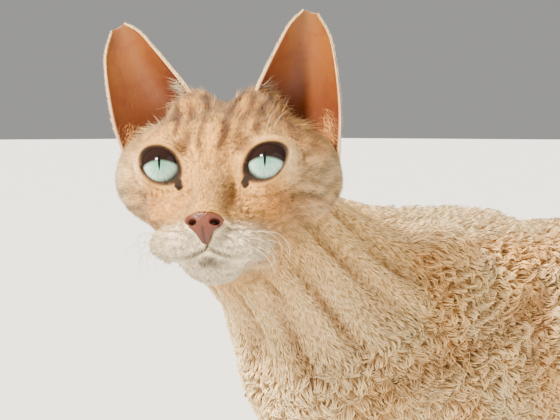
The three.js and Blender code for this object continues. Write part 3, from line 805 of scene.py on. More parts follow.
def padSpots(local):
    side, up = np.abs(local[:, 0]), local[:, 2]
    firstSide, firstHeight = padRows["first"]
    columnsApart, rowsApart = padRows["apart"]
    rows = 0.5 + 0.5 * np.cos((up - firstHeight - padRows["slope"] * side) * 2 * math.pi / rowsApart)
    columns = 0.5 + 0.5 * np.cos((side - firstSide) * 2 * math.pi / columnsApart)
    zone = smoothStep(6.5, 8.5, side) * smoothStep(21, 17, side) * (local[:, 1] < 2)
    zone *= smoothStep(-37.5, -36, up) * smoothStep(-25.5, -27.5, up)
    return zone * rows ** 3 * (0.55 + 0.45 * columns ** 2)


# On the shoulders and the sides the coat lies in small ringlets, on the back and the belly it is plush.
curls = {
    "low": (118, 145), "high": (238, 226), "front": (-176, -158),
    "turn": (1.0, 2.2), "length": 0.9, "spacing": 1.07,
}


def curlShare(points):
    between = smoothStep(*curls["low"], points[:, 2]) * smoothStep(*curls["high"], points[:, 2])
    onTrunk = between * smoothStep(*curls["front"], points[:, 1]) * sharesAt(points)["torso"]
    wander = 0.18 * ripple(points, 40, 61)
    return np.clip(onTrunk + wander * (between > 0.2), 0, 1)


# Marks on the trunk are at heights and places along the body, those on the face at sides and heights.
marks = {
    "upperBand": {"height": 231, "half": 8},
    "paleAndLitBack": (232, 241),
    "paleChest": {"along": (-120, -160), "height": (245, 205)},
    "paleBelly": (165, 140),
    "underEye": {"side": 25, "height": -14.5, "half": (8, 6.5)},
    "innerBrow": {"side": 12.5, "height": 7.5, "half": (4.0, 4.5)},
    "eyeCorner": {"side": 13.1, "height": -8.0, "half": (1.5, 2.8)},
    "chinSpot": {"side": 0, "height": -39.8, "half": (7.5, 3.2)},
}


def markReach(name, side, up):
    mark = marks[name]
    return np.hypot((side - mark["side"]) / mark["half"][0], (up - mark["height"]) / mark["half"][1])


def coatColour(points, shares):
    local = toHead(points)
    side, up, front = np.abs(local[:, 0]), local[:, 2], -local[:, 1]
    along, height = points[:, 1], points[:, 2]
    trunk, head = shares["torso"], shares["head"]
    colour = np.tile(np.array(tones["cream"]), (len(points), 1))

    def paint(name, share):
        nonlocal colour
        share = np.clip(share, 0, 1)[:, None]
        colour = colour * (1 - share) + np.array(tones[name]) * share

    ends = shares["leg"] + shares["tail"]
    upperBand = marks["upperBand"]
    band = bell(height - upperBand["height"] - 5 * ripple(points, 80, 6), upperBand["half"])
    paint("apricot", trunk * (0.10 + 0.22 * ripple(points, 46, 3) + 0.55 * band))
    # The top of the back is paler: partly its own pale coat, partly painted light falling from above.
    paint("ivory", trunk * 0.85 * smoothStep(*marks["paleAndLitBack"], height))
    paint("ivory", 0.7 * curlShare(points) * (0.5 + 0.5 * ripple(points, 34, 7)))
    paint("apricot", ends * (0.30 + 0.20 * ripple(points, 30, 4)))
    bars = 0.5 + 0.5 * np.sin(along / 9 + 1.5 * ripple(points, 60, 5))
    paint("apricot", trunk * 0.16 * bars)
    rings = 0.5 + 0.5 * np.sin(height / 5.5 + 1.4 * ripple(points, 30, 8))
    paint("stripe", 0.20 * ends * rings ** 2)
    paleChest = marks["paleChest"]
    chest = smoothStep(*paleChest["along"], along) * smoothStep(*paleChest["height"], height)
    underside = smoothStep(*marks["paleBelly"], height) * trunk
    paint("ivory", 0.7 * chest * (trunk + shares["neck"]) + 0.6 * shares["paw"] + 0.6 * underside)
    # Painted shade: the creases of the skin's folds are darkened.
    for share in foldShare(points):
        paint("root", 0.8 * share * (trunk + shares["leg"]))
    # Painted shade: the troughs between the neck's ridges are darkened.
    paint("root", -0.65 * neckRidge(points, shares))

    paint("face", head)
    outerCheek = smoothStep(24, 32, side) * smoothStep(-26, -18, up) * smoothStep(12, 2, up)
    paint("ivory", head * 0.65 * outerCheek)
    paint("cream", head * 0.85 * smoothStep(-12, -36, front))
    paint("apricot", head * (0.14 + 0.22 * ripple(points, 24, 17)))
    paint("stripe", head * 0.9 * stripesOnHead(local))
    bridge = bell(side - 8.0, 3.0) * smoothStep(-20, -13, up) * smoothStep(12, 4, up)
    paint("apricot", head * 0.12 * bridge * (front > 3))
    underEye = np.exp(-(markReach("underEye", side, up) ** 2))
    paint("apricot", head * 0.85 * underEye)
    paint("root", head * 0.45 * underEye * (0.7 + 0.3 * ripple(points, 9, 53)))
    pads = smoothStep(-21, -30, up) * smoothStep(-12, 4, front) * smoothStep(30, 13, side)
    paint("white", head * 0.9 * pads)
    paint("white", head * 0.6 * smoothStep(-26, -36, up) * smoothStep(-34, -10, front))
    reach = nearerOpening(local)
    paint("cream", head * 0.15 * smoothStep(2.4, 1.2, reach))
    paint("stripe", head * 0.5 * smoothStep(1.22, 1.08, reach))
    innerBrow = smoothStep(1.3, 0.5, markReach("innerBrow", side, up))
    paint("stripe", head * 0.75 * innerBrow * (front > 0))
    ragged = markReach("eyeCorner", side, up) + 0.25 * ripple(points, 2.6, 54)
    paint("rim", head * smoothStep(1.15, 0.75, ragged) * (front > 4))
    # Painted shade under the mouth, with partly grey fur of its own on the chin.
    chin = smoothStep(1.3, 0.3, markReach("chinSpot", local[:, 0], up))
    paint("chinGreyAndShade", head * 0.85 * chin * (front > 2))
    paint("stripe", head * 0.85 * padSpots(local))
    return colour


def darkened(colours, share):
    return colours * (1 - share * (1 - np.array(rootToneAndDepthShade)))


def hairiness(shares, least):
    return np.clip(mixed(shares, "depth") / 4.5, least, 1)


points = pointsOf(skin)
shares = sharesAt(points)
# The skin is darker where the coat is deeper: painted shade under the hair, and partly the roots' own tone.
skinColour = darkened(coatColour(points, shares), 0.2 + 0.40 * hairiness(shares, 0)[:, None])
# Dark lid edges, and painted shade in the mouth line and the cleft.
skinColour = skinColour * (1 - dark[:, None]) + np.array(tones["rim"]) * dark[:, None]
setColour(skin, "coatColour", skinColour)


# The locks of the coat. Each is a thin closed prism that tapers to a point and follows the skin.

thinning = 1.0
lock = {
    "flatness": 0.62,
    "root": 0.6,  # how deep its root is in the skin
    "lowest": 0.15,
    "furthestStep": 7,
    "guideReach": 6,  # a lock this near to its guide leans towards it
    "soleGap": 2.5,  # the soles are bare
    "floorGap": 0.4,
    "patch": 0.003,
    "pieceLimit": 190000,  # triangles
}
# The coat lies in waves, broken up here and there so that they don't run on as stripes.
# Their relief also paints the crests lighter and the troughs darker on the locks: painted light and shade.
waves = {"length": 5.6, "relief": 0.5, "breakUp": 34, "patches": 26, "way": (0.0, 0.5, -0.87)}


# Far apart stands for no locks: each layer of the coat grows on its own parts of the body alone.
def spacingIn(points, region, ringlets):
    shares = sharesAt(points)
    names = list(shares)
    largest = np.argmax([shares[name] for name in names], axis=0)
    chosen = np.isin(largest, [names.index(name) for name in region])
    if "torso" in region:
        chosen &= (curlShare(points) > 0.5) == (ringlets > 0)
    hidden = smoothStep(-0.2, -0.8, slopeOf(fleshDistance, points)[1][:, 2]) * (1 - shares["head"])
    spacing = mixed(shares, "spacing") * (curls["spacing"] if ringlets else 1.0) * (1 + 0.35 * hidden)
    return np.where(chosen, spacing, outOfReach)


def samplePlaces(obj, spacingAt):
    mesh = obj.data
    mesh.calc_loop_triangles()
    corners = valuesOf(mesh.loop_triangles, "vertices", kind=np.int32)
    loops = valuesOf(mesh.loop_triangles, "loops", kind=np.int32)
    uv = valuesOf(mesh.uv_layers["OFBake"].data, "uv", 2)
    count = len(corners)
    points, normals = pointsOf(obj), normalsOf(obj)
    first, second, third = (points[corners[:, corner]] for corner in range(3))
    area = np.linalg.norm(np.cross(second - first, third - first), axis=1) / 2
    expected = area / spacingAt((first + second + third) / 3) ** 2 * thinning
    chosen = np.repeat(np.arange(count), np.floor(expected + rng.random(count)).astype(int))
    along, across = rng.random(len(chosen)), rng.random(len(chosen))
    flip = along + across > 1
    along, across = np.where(flip, 1 - along, along), np.where(flip, 1 - across, across)
    share = np.stack([1 - along - across, along, across], 1)
    place = np.einsum("nk,nkd->nd", share, points[corners[chosen]])
    normal = unit(np.einsum("nk,nkd->nd", share, normals[corners[chosen]]))
    patch = np.einsum("nk,nkd->nd", share, uv[loops[chosen]])
    return place, normal, patch


def lieOfCoat(points, normals, parts, shares):
    local = toHead(points)
    away = points - fromHead(np.array([streaks["from"]]))
    away[:, 2] -= 4 * smoothStep(30, 42, np.abs(local[:, 0]))
    onHead = unit(away)
    for sign in sideSigns.values():
        fromEye = points - fromHead(np.array([[sign * eye["side"], 0.0, 0.0]]))
        around = smoothStep(2.0, 1.3, openingReach(local, sign))[:, None]
        onHead = onHead * (1 - around) + around * unit(fromEye)
    front = smoothStep(-0.3, -0.8, normals[:, 1])[:, None]
    back = np.array([0, 1.0, -0.42]) * (1 - front) + np.array([0, 0.35, -1.0]) * front
    onUpperLeg = np.min([parts[name] for name in legs], axis=0) < parts["torso"]
    middles = (np.array(tailSpine[:-1]) + np.array(tailSpine[1:])) / 2
    ways = unit(np.array(tailSpine[1:], float) - np.array(tailSpine[:-1], float))
    nearest = np.argmin(np.linalg.norm(points[:, None] - middles[None], axis=2), axis=1)
    lies = {
        "head": onHead,
        "neck": unit(np.subtract(neckBase, neckTop)) + np.array([0, 0, -0.45]),
        "torso": np.where(onUpperLeg[:, None], np.array([0, 0.62, -0.9]), back),
        "leg": np.array([0, 0.22, -1.0]),
        "paw": np.array([0, -0.85, -0.5]),
        "tail": ways[nearest],
    }
    lie = np.sum([shares[name][:, None] * lies[name] for name in lies], axis=0)
    return unit(flattened(lie, normals))


def nearestGuide(places, every):
    chosen = rng.choice(len(places), max(1, len(places) // every), replace=False)
    tree = kdtree.KDTree(len(chosen))
    for number, index in enumerate(chosen):
        tree.insert(places[index], number)
    tree.balance()
    return np.array([chosen[tree.find(place)[1]] for place in places])


def lockFaces(rings):
    faces = [(0, 2, 1)]
    for ring in range(rings):
        for corner in range(3):
            low, beside = ring * 3 + corner, ring * 3 + (corner + 1) % 3
            if ring == rings - 1:
                faces.append((low, beside, rings * 3))
            else:
                faces += [(low, beside, beside + 3), (low, beside + 3, low + 3)]
    return np.array(faces)


def buildLocks(name, paths, widths, sides, colours, patches):
    count, rings = paths.shape[0], paths.shape[1] - 1
    forward = np.empty_like(paths[:, :rings])
    forward[:, 0] = paths[:, 1] - paths[:, 0]
    forward[:, 1:] = paths[:, 2:rings + 1] - paths[:, 0:rings - 1]
    forward = unit(forward)
    across = unit(flattened(sides[:, None, :], forward))
    over = np.cross(forward, across)
    vertices = np.empty((count, rings * 3 + 1, 3))
    for corner, angle in enumerate(np.radians([90.0, 210.0, 330.0])):
        offset = across * math.cos(angle) + over * math.sin(angle) * lock["flatness"]
        vertices[:, corner:rings * 3:3] = paths[:, :rings] + offset * widths[:, :rings, None] / 2
    vertices[:, -1] = paths[:, rings]
    faces = lockFaces(rings)
    size = vertices.shape[1]
    alongPatch = np.concatenate([np.repeat(np.arange(rings), 3), [rings]]) / rings - 0.5
    acrossPatch = np.concatenate([np.tile([0.0, -0.5, 0.5], rings), [0.0]])
    patch = np.stack([acrossPatch, alongPatch], 1) * lock["patch"]
    uv = np.clip(patches[:, None, :] + patch[None], 0, 1).astype(np.float32)
    tint = np.concatenate([np.repeat(colours[:, :rings], 3, axis=1), colours[:, rings:rings + 1]], axis=1)
    pieces = []
    perPiece = max(1, lock["pieceLimit"] // len(faces))
    for part, start in enumerate(range(0, count, perPiece)):
        stop = min(start + perPiece, count)
        triangles = (faces[None] + (np.arange(stop - start) * size)[:, None, None]).reshape(-1, 3)
        obj = meshFromArrays(f"{name}_{part + 1}", vertices[start:stop].reshape(-1, 3), triangles)
        setColour(obj, "coatColour", tint[start:stop].reshape(-1, 3))
        layer = obj.data.uv_layers.new(name="OFBake")
        layer.data.foreach_set("uv", uv[start:stop].reshape(-1, 2)[triangles.ravel()].ravel())
        pieces.append(obj)
    return pieces


# Longer wisps grow along the upper edge of the head, in front of the ears.
wispPiece = {
    "edge": [(7, 16, 31), (13, 17, 33), (19, 17, 29), (23, 17, 21), (28, 13, 13), (35, 14, 7)],
    "near": (6.0, 2.5),
    "lift": 3.0,
    "length": 1.8,
    "outward": 1.6,
}
# A low ruff stands on the middle of the back.
ruffPiece = {"place": 8, "half": 17, "lift": 3.4, "length": 0.5}


def wispShare(local):
    return smoothStep(*wispPiece["near"], awayFromLine(mirroredPoints(local), wispPiece["edge"]))


def turnedOutward(lies, normals, local, wisps):
    sideways = np.stack([np.sign(local[:, 0]), np.zeros(len(local)), np.full(len(local), 0.5)], 1)
    outward = wispPiece["outward"] * wisps[:, None] * (sideways @ headAxes.T)
    return unit(flattened(lies + outward, normals))


def wavePhase(points):
    turns = points @ np.array(waves["way"]) / waves["length"]
    return 2 * math.pi * turns + 2.6 * ripple(points, waves["breakUp"], 12)


def lockColours(places, shares, ends, rings, bright, relief, ringlets):
    # Locks darken towards their roots, more in ringlets and on the head: partly their own darker roots,
    # partly painted shade between the locks.
    rootShare = (hairiness(shares, 0.4) * (0.6 if ringlets else 0.35) + 0.35 * shares["head"])[:, None]
    base = darkened(coatColour(places, shares), rootShare)
    tip = coatColour(ends, sharesAt(ends))
    tipShares = [0, 1, 1, 0.75] if ringlets else [0, 0.6, 0.85, 1]
    colours = np.empty((len(places), rings + 1, 3))
    for ring in range(rings + 1):
        share = np.interp(ring / rings, [0, 0.5, 0.8, 1], tipShares)
        # Painted light and shade: lighter on the wave crests, darker in the troughs.
        shade = bright * (1 + 0.75 * relief[:, ring])
        colours[:, ring] = (base * (1 - share) + tip * 1.04 * share) * shade[:, None]
    return colours * np.minimum(1, 0.98 / colours.max(axis=2, keepdims=True))


def growCoat(name, region, rings, every, gather, ringlets=0.0):
    places, normals, patches = samplePlaces(skin, lambda centres: spacingIn(centres, region, ringlets))
    keep = rng.random(len(places)) > bareness(places)
    keep &= places[:, 2] > lock["soleGap"]
    places, normals, patches = places[keep], normals[keep], patches[keep]
    count = len(places)
    parts = partDistances(places)
    shares = regionShares(places, parts)
    head = shares["head"]
    local = toHead(places)
    wisps = wispShare(local) * head
    lies = turnedOutward(lieOfCoat(places, normals, parts, shares), normals, local, wisps)
    sides = np.cross(normals, lies)
    guide = nearestGuide(places, every)
    draw = rng.random((count, 6))
    tuft = draw[guide]
    wisps = wisps * draw[:, 3] ** 2
    nearEyes = smoothStep(1.8, 1.2, nearerOpening(local)) * head
    onMuzzle = head * smoothStep(-8, 4, -local[:, 1])
    onSpine = (shares["torso"] + shares["neck"]) * smoothStep(0.55, 0.9, normals[:, 2])
    ruff = bell(places[:, 1] - ruffPiece["place"], ruffPiece["half"]) * onSpine
    waviness = 0.55 + 0.45 * ripple(places, waves["patches"], 31)

    length = mixed(shares, "length") * (0.78 + 0.44 * tuft[:, 0]) * (0.85 + 0.3 * draw[:, 1])
    length *= (1 - 0.35 * onMuzzle) * (1 - 0.4 * nearEyes)
    length *= (1 + ruffPiece["length"] * ruff) * (1 + wispPiece["length"] * wisps)
    length *= curls["length"] if ringlets else 1.0
    lift = mixed(shares, "lift") * (0.8 + 0.4 * tuft[:, 2]) * (1 - 0.35 * onMuzzle)
    lift *= (1 - 0.5 * nearEyes) * (1 + 0.25 * onSpine)
    lift += ruffPiece["lift"] * ruff
    lift *= 1 + wispPiece["lift"] * wisps
    sway = mixed(shares, "sway") * (0.7 + 0.6 * tuft[:, 3]) * np.clip(waviness, 0.15, 1.1)
    sway *= 1 - 0.8 * onSpine
    relief = waves["relief"] * np.clip(mixed(shares, "sway"), 0, 1)
    relief *= np.clip(waviness, 0.2, 1) * (1 - 0.7 * onSpine)
    width = mixed(shares, "width") * (0.8 + 0.4 * draw[:, 4]) * (1 - 0.3 * onSpine)
    loose = 0.35 + 0.4 * head + 1.2 * wisps
    turn = (tuft[:, 5] - 0.5) * 0.5 + (draw[:, 5] - 0.5) * loose
    hook = np.sign(tuft[:, 1] - 0.5) * sway * 1.1
    lowTurn, highTurn = curls["turn"]
    bend = np.sign(tuft[:, 4] - 0.5) * (lowTurn + (highTurn - lowTurn) * tuft[:, 5]) * ringlets
    toGuide = flattened(places[guide] - places, normals)
    toGuide *= (np.linalg.norm(toGuide, axis=1) < lock["guideReach"])[:, None]
    heights = [0, 0.7, 1.0, 0.95, 0.7] if ringlets else [0, 0.5, 0.85, 1, 0.93]

    middle = places.copy()
    paths = np.empty((count, rings + 1, 3))
    crests = np.empty((count, rings + 1))
    paths[:, 0] = places - normals * lock["root"]
    for ring in range(1, rings + 1):
        share = ring / rings
        angle = bend * ((ring - 0.5) / rings - 0.15)
        step = lies * np.cos(angle)[:, None] + sides * np.sin(angle)[:, None]
        middle = middle + step * (length / rings)[:, None]
        phase = wavePhase(middle)
        crests[:, ring] = np.cos(phase)
        side = sway * np.sin(phase) * min(1, 2.5 * share) + turn * length * share + hook * share ** 4
        place = middle + sides * side[:, None] + toGuide * (gather * share ** 1.3)
        height = lift * np.interp(share, [0, 0.3, 0.6, 0.85, 1], heights) * (1 + relief * crests[:, ring])
        height = np.maximum(height, lock["lowest"])
        furthest = lock["furthestStep"]
        place += normals * np.clip(height - skinDistance(place), -furthest, furthest)[:, None]
        place[:, 2] = np.maximum(place[:, 2], lock["floorGap"])
        paths[:, ring] = place
    crests[:, 0] = crests[:, 1]
    taper = np.interp(np.arange(rings) / rings, [0, 0.35, 0.7, 1], [0.8, 1.0, 0.75, 0.35])
    widths = width[:, None] * taper[None]

    bright = 1.0 + (0.2 + 0.5 * head) * (rng.random(count) - 0.6)
    bright *= 1 + (0.14 + 0.3 * head) * (tuft[:, 2] - 0.6)
    bright *= np.exp(0.55 * head * hairStreaks(local))
    paintedCrestShading = relief[:, None] * crests
    colours = lockColours(places, shares, paths[:, rings], rings, bright, paintedCrestShading, ringlets)
    print(name, count, "locks")
    return buildLocks(name, paths, widths, sides, colours, patches)


coatLayers = [
    {"name": "faceCoat", "region": ("head",), "rings": 1, "every": 10, "gather": 0.4},
    {"name": "neckCoat", "region": ("neck",), "rings": 2, "every": 6, "gather": 0.35},
    {"name": "bodyCoat", "region": ("torso",), "rings": 2, "every": 6, "gather": 0.5},
    {"name": "curlCoat", "region": ("torso",), "rings": 3, "every": 12, "gather": 0.72, "ringlets": 1.0},
    {"name": "limbCoat", "region": ("leg", "paw", "tail"), "rings": 2, "every": 5, "gather": 0.35},
]
coatPieces = []
for layer in coatLayers:
    coatPieces += growCoat(**layer)


# Eyes, each a ball with a raised clear front, and the dark rims of their lids.

eyeLook = {"yaw": 1.0, "pitch": 5.0, "frontAngle": 42.0, "frontRise": 0.9}
lidRim = {"reach": 1.02, "proud": 0.75, "radius": 0.42, "sides": 8}
eyeTurn = np.array(
    Matrix.Rotation(math.radians(eyeLook["yaw"]), 3, "Z")
    @ Matrix.Rotation(math.radians(90 - eyeLook["pitch"]), 3, "X")
)


def makeEye(side, sign):
    bpy.ops.mesh.primitive_uv_sphere_add(segments=64, ring_count=48, radius=eye["radius"] / perMetre)
    ball = nameObject(bpy.context.object, "eyeball_" + side)
    local = valuesOf(ball.data.vertices, "co") * perMetre
    fromAxis = np.degrees(np.arccos(np.clip(local[:, 2] / eye["radius"], -1, 1)))
    share = np.clip(1 - fromAxis / eyeLook["frontAngle"], 0, 1)
    local *= (1 + eyeLook["frontRise"] / eye["radius"] * np.sin(share * math.pi / 2))[:, None]
    setPoints(ball, fromHead(local @ eyeTurn.T + np.array([sign * eye["side"], 0, 0])))
    layer = ball.data.attributes.new("gaze", "FLOAT_VECTOR", "POINT")
    layer.data.foreach_set("vector", (local / eye["radius"]).astype(np.float32).ravel())
    shadeSmooth(ball)
    smartUnwrap(ball)
    return ball


def quad(first, second, third, fourth):
    return [(first, second, third), (first, third, fourth)]


def tubeAlong(name, curve, radii, sides, closed=False):
    count = len(curve)
    step = np.roll(curve, -1, 0) - np.roll(curve, 1, 0) if closed else np.gradient(curve, axis=0)
    forward = unit(step)
    across = unit(flattened(np.array([0.31, 0.52, 0.79]), forward))
    over = np.cross(forward, across)
    turns = (np.arange(sides) / sides * 2 * math.pi)[None, :, None]
    offset = across[:, None] * np.cos(turns) + over[:, None] * np.sin(turns)
    points = (curve[:, None] + offset * radii[:, None, None]).reshape(-1, 3)
    triangles = []
    for ring in range(count if closed else count - 1):
        low, high = ring * sides, (ring + 1) % count * sides
        for corner in range(sides):
            beside = (corner + 1) % sides
            triangles += quad(low + corner, low + beside, high + beside, high + corner)
    if not closed:
        last = (count - 1) * sides
        for corner in range(1, sides - 1):
            triangles += [(0, corner + 1, corner), (last, last + corner, last + corner + 1)]
    return meshFromArrays(name, points, np.array(triangles))


def openingCurve(sign, reach, radius, count=72):
    turns = np.arange(count) / count * 2 * math.pi
    corner = 1 + opening["pointed"] * np.abs(np.cos(turns)) ** 6
    along = np.cos(turns) * opening["halfLength"] * corner * reach
    across = np.sin(turns) * opening["halfHeight"] * corner * reach
    side = along * slantCos - across * slantSin
    up = along * slantSin + across * slantCos
    depth = np.sqrt(np.maximum(radius ** 2 - side ** 2 - up ** 2, 0.5))
    return np.stack([sign * (side + eye["side"]), -depth, up], 1)


def makeLidRims():
    made = []
    for side, sign in sideSigns.items():
        curve = fromHead(openingCurve(sign, lidRim["reach"], eye["radius"] + lidRim["proud"]))
        radii = np.full(len(curve), lidRim["radius"])
        made.append(tubeAlong("lidRim_" + side, curve, radii, lidRim["sides"], closed=True))
    joined = joinAll(made, "lidRims")
    smartUnwrap(joined)
    return joined


eyes = {side: makeEye(side, sign) for side, sign in sideSigns.items()}
lidRims = makeLidRims()
print("eyes made")


# The bare leather of the nose, with its nostrils, their side slits and the groove below.

nose = {
    "centre": (0.0, -14.0, -27.0), "reach": 24.0, "proud": 0.35, "sunk": 0.42,
    "nostril": (4.7, -25.4), "nostrilHalf": (2.3, 1.45), "nostrilDepth": 3.4, "nostrilRim": 0.12,
    "slit": (7.2, -26.6), "slitHalf": (1.3, 0.7), "slitDepth": 1.5,
    "grooveHalf": 0.55, "grooveDepth": 0.6, "halvings": 22,
}


# Where rays from a place inside the head come out of the flesh, or a little above or below its surface.
def faceSurface(start, ways, piece):
    low, high = np.zeros(len(ways)), np.full(len(ways), piece["reach"])
    for _ in range(piece["halvings"]):
        middle = (low + high) / 2
        inside = faceDistance(start + ways * middle[:, None]) < piece["proud"]
        low, high = np.where(inside, middle, low), np.where(inside, high, middle)
    return start + ways * low[:, None]


def makeNose():
    bpy.ops.mesh.primitive_uv_sphere_add(segments=128, ring_count=96, radius=1 / perMetre)
    ball = nameObject(bpy.context.object, "noseLeather")
    way = valuesOf(ball.data.vertices, "co") * perMetre
    way = np.stack([way[:, 0], -way[:, 2], way[:, 1]], 1)
    centre = np.array(nose["centre"])
    local = faceSurface(centre, way, nose)
    sink = smoothStep(0.15, -0.9, leatherReach(local))
    local = centre + (local - centre) * (1 - nose["sunk"] * sink)[:, None]
    side, up = np.abs(local[:, 0]), local[:, 2]
    across = (side - nose["nostril"][0]) / nose["nostrilHalf"][0]
    over = (up - nose["nostril"][1]) / nose["nostrilHalf"][1]
    turned = np.hypot(across * 0.86 + over * 0.5, over * 0.86 - across * 0.5)
    hole = smoothStep(1.0, 0.55, turned) * (local[:, 1] < -18)
    slit = bell(side - nose["slit"][0], nose["slitHalf"][0])
    slit *= bell(up - nose["slit"][1], nose["slitHalf"][1])
    groove = bell(side, nose["grooveHalf"]) * smoothStep(-25.5, -28.5, up)
    rise = nose["nostrilRim"] * bell(turned - 1.25, 0.25) - nose["nostrilDepth"] * hole
    rise -= nose["slitDepth"] * slit + nose["grooveDepth"] * groove
    setPoints(ball, fromHead(local + way * rise[:, None]))
    shadeSmooth(ball)
    # Nostrils, slits and the groove below are coloured dark: painted shade in the hollows.
    setValue(ball, "hollowShade", np.maximum(np.maximum(hole, 0.85 * slit), 0.6 * groove))
    smartUnwrap(ball)
    return ball


noseLeather = makeNose()
print("nose made")


# Ears: thin cups between an outer and an inner edge, with a small pocket and a ridge inside.

ear = {
    "outerEdge": [
        (41, 31, -6), (44, 26, 8), (46.4, 21, 22), (46.8, 18, 38), (45.4, 16, 53), (41.4, 15.5, 62.6),
    ],
    "innerEdge": [
        (9, 22, 20), (13.5, 14, 32), (18.6, 12.5, 41), (24.6, 13.5, 51), (30.6, 15, 60), (36.2, 15.5, 64.6),
    ],
    "depth": [24, 22, 17, 11, 5, 1],
    "rise": {"back": 1.2, "front": 0.1},
    "inset": {"back": 0.0, "front": 0.012},
    "pocket": {"place": (0.88, 0.27), "half": (0.07, 0.09), "rise": 3.4},
    "ridge": {"place": 0.38, "lean": 0.2, "half": 0.07, "rise": 0.9},
    "pivot": (30, 20, 20),
    "splay": {"left": -5, "right": 8},
    "fold": {"left": 0, "right": 5},
    "columns": 48,
    "rows": 72,
}


def slopeThrough(before, middle, after, gapBefore, gapAfter):
    whole = (after - before) / (gapBefore + gapAfter)
    return (middle - before) / gapBefore - whole + (after - middle) / gapAfter


def throughPoints(points, share):
    points = np.array(points, float)
    padded = np.vstack([2 * points[0] - points[1], points, 2 * points[-1] - points[-2]])
    place = np.clip(share, 0, 1) * (len(points) - 1)
    index = np.minimum(np.floor(place).astype(int), len(points) - 2)
    part = (place - index)[:, None]
    before, start, stop, after = (padded[index + number] for number in range(4))
    gaps = []
    for first, second in ((before, start), (start, stop), (stop, after)):
        gaps.append(np.maximum(np.sum((second - first) ** 2, axis=1) ** 0.25, 1e-4)[:, None])
    leaving = slopeThrough(before, start, stop, gaps[0], gaps[1]) * gaps[1]
    arriving = slopeThrough(start, stop, after, gaps[1], gaps[2]) * gaps[1]
    square = -3 * start + 3 * stop - 2 * leaving - arriving
    cube = 2 * start - 2 * stop + leaving + arriving
    return start + leaving * part + square * part ** 2 + cube * part ** 3


def earPoints(side, across, along, skinSide):
    inner, outer = throughPoints(ear["innerEdge"], along), throughPoints(ear["outerEdge"], along)
    depth = np.interp(along, np.linspace(0, 1, len(ear["depth"])), ear["depth"])
    chord = outer - inner
    back = unit(np.cross(np.array([0.0, 0.0, 1.0]), chord))
    back *= np.where(back[:, 1:2] < 0, -1, 1)
    bow = np.sin(math.pi * np.clip(across, 0, 1)) ** 0.8
    inset = ear["inset"][skinSide]
    rise = depth * bow + ear["rise"][skinSide] * bow ** 0.35
    if skinSide == "front":
        pocket, ridge = ear["pocket"], ear["ridge"]
        fold = bell(across - pocket["place"][0], pocket["half"][0]) * pocket["rise"]
        fold *= bell(along - pocket["place"][1], pocket["half"][1])
        crest = bell(across - ridge["place"] - ridge["lean"] * along, ridge["half"]) * ridge["rise"]
        rise -= fold + crest * smoothStep(0.65, 0.1, along)
    place = inner + chord * (inset + across * (1 - 2 * inset))[:, None] + back * rise[:, None]
    turn = np.array(
        Matrix.Rotation(math.radians(ear["splay"][side]), 3, "Y")
        @ Matrix.Rotation(math.radians(-ear["fold"][side]), 3, "X")
    )
    place = (place - np.array(ear["pivot"])) @ turn.T + np.array(ear["pivot"])
    place[:, 0] *= sideSigns[side]
    return place


def makeEar(side):
    columns, rows = ear["columns"], ear["rows"]
    width = columns + 1
    grid = np.meshgrid(np.linspace(0, 1, width), np.linspace(0, 1, rows + 1) ** 0.95)
    across, along = (values.ravel() for values in grid)
    count = len(across)
    points = np.vstack([earPoints(side, across, along, skinSide) for skinSide in ("front", "back")])
    triangles = []
    for row in range(rows):
        for column in range(columns):
            low, high = row * width + column, (row + 1) * width + column
            triangles += quad(low, low + 1, high + 1, high)
            triangles += quad(count + low, count + high, count + high + 1, count + low + 1)
    border = [(row * width, (row + 1) * width) for row in range(rows)]
    border += [((row + 1) * width + columns, row * width + columns) for row in range(rows)]
    border += [(column + 1, column) for column in range(columns)]
    border += [(rows * width + column, rows * width + column + 1) for column in range(columns)]
    for start, end in border:
        triangles += quad(start, end, count + end, count + start)
    order = -1 if side == "left" else 1
    shell = meshFromArrays("earShell_" + side, fromHead(points), np.array(triangles)[:, ::order])
    setValue(shell, "height", np.tile(along, 2))
    setValue(shell, "edge", np.tile(np.minimum(across, 1 - across), 2))
    setValue(shell, "inside", np.repeat([1.0, 0.0], count))
    smartUnwrap(shell)
    return shell


ears = {side: makeEar(side) for side in sideSigns}
print("ears made")


# Short fur on the backs of the ears, a fringe on their edges, wisps at their inner base, fur in the
# pockets and down in the cups. A size is the length and width of a hair, its way is across and along.

earFurPlans = [
    {"skin": "back", "count": 3600, "size": (3.2, 0.6), "rise": 0.5, "way": (0, 1), "tone": "cream"},
    {"skin": "back", "count": 1900, "size": (1.9, 0.26), "rise": 0.9, "way": (0, 1), "tone": "ivory"},
    {"skin": "front", "count": 300, "size": (7.0, 0.2), "rise": 4.0, "way": (0.7, 0.5), "tone": "white"},
    {"skin": "front", "count": 650, "size": (1.6, 0.26), "rise": 0.7, "way": (-0.3, 0.8), "tone": "apricot"},
    {"skin": "front", "count": 700, "size": (1.8, 0.13), "rise": 0.2, "way": (0.1, 1), "tone": "root"},
]
# "long" hairs stand looser than short ones.
earFur = {
    "step": 0.004, "root": 0.3, "long": 5, "loose": (0.25, 0.5),
    # Hairs on the insides of the ears are darkened: painted shade in the cups.
    "shade": {"back": 1.0, "front": 0.6},
}


def earFurPlaces():
    back, fringe, base, pocket, cup = (int(plan["count"] * thinning) for plan in earFurPlans)
    places = [(rng.random(back), rng.random(back) ** 1.2 * 0.97)]
    onInnerEdge = rng.random(fringe) < 0.5
    places.append((np.where(onInnerEdge, 0.004, 0.996), rng.random(fringe) * 0.985))
    low = 0.02 + rng.random(base) ** 1.4 * 0.30
    places.append((0.01 + 0.11 * rng.random(base) ** 1.5, low))
    low = np.clip(0.26 + 0.06 * rng.normal(size=pocket), 0.02, 0.4)
    places.append((np.clip(0.90 + 0.045 * rng.normal(size=pocket), 0.74, 0.99), low))
    places.append((0.05 + 0.9 * rng.random(cup), rng.random(cup) * 0.9))
    return places


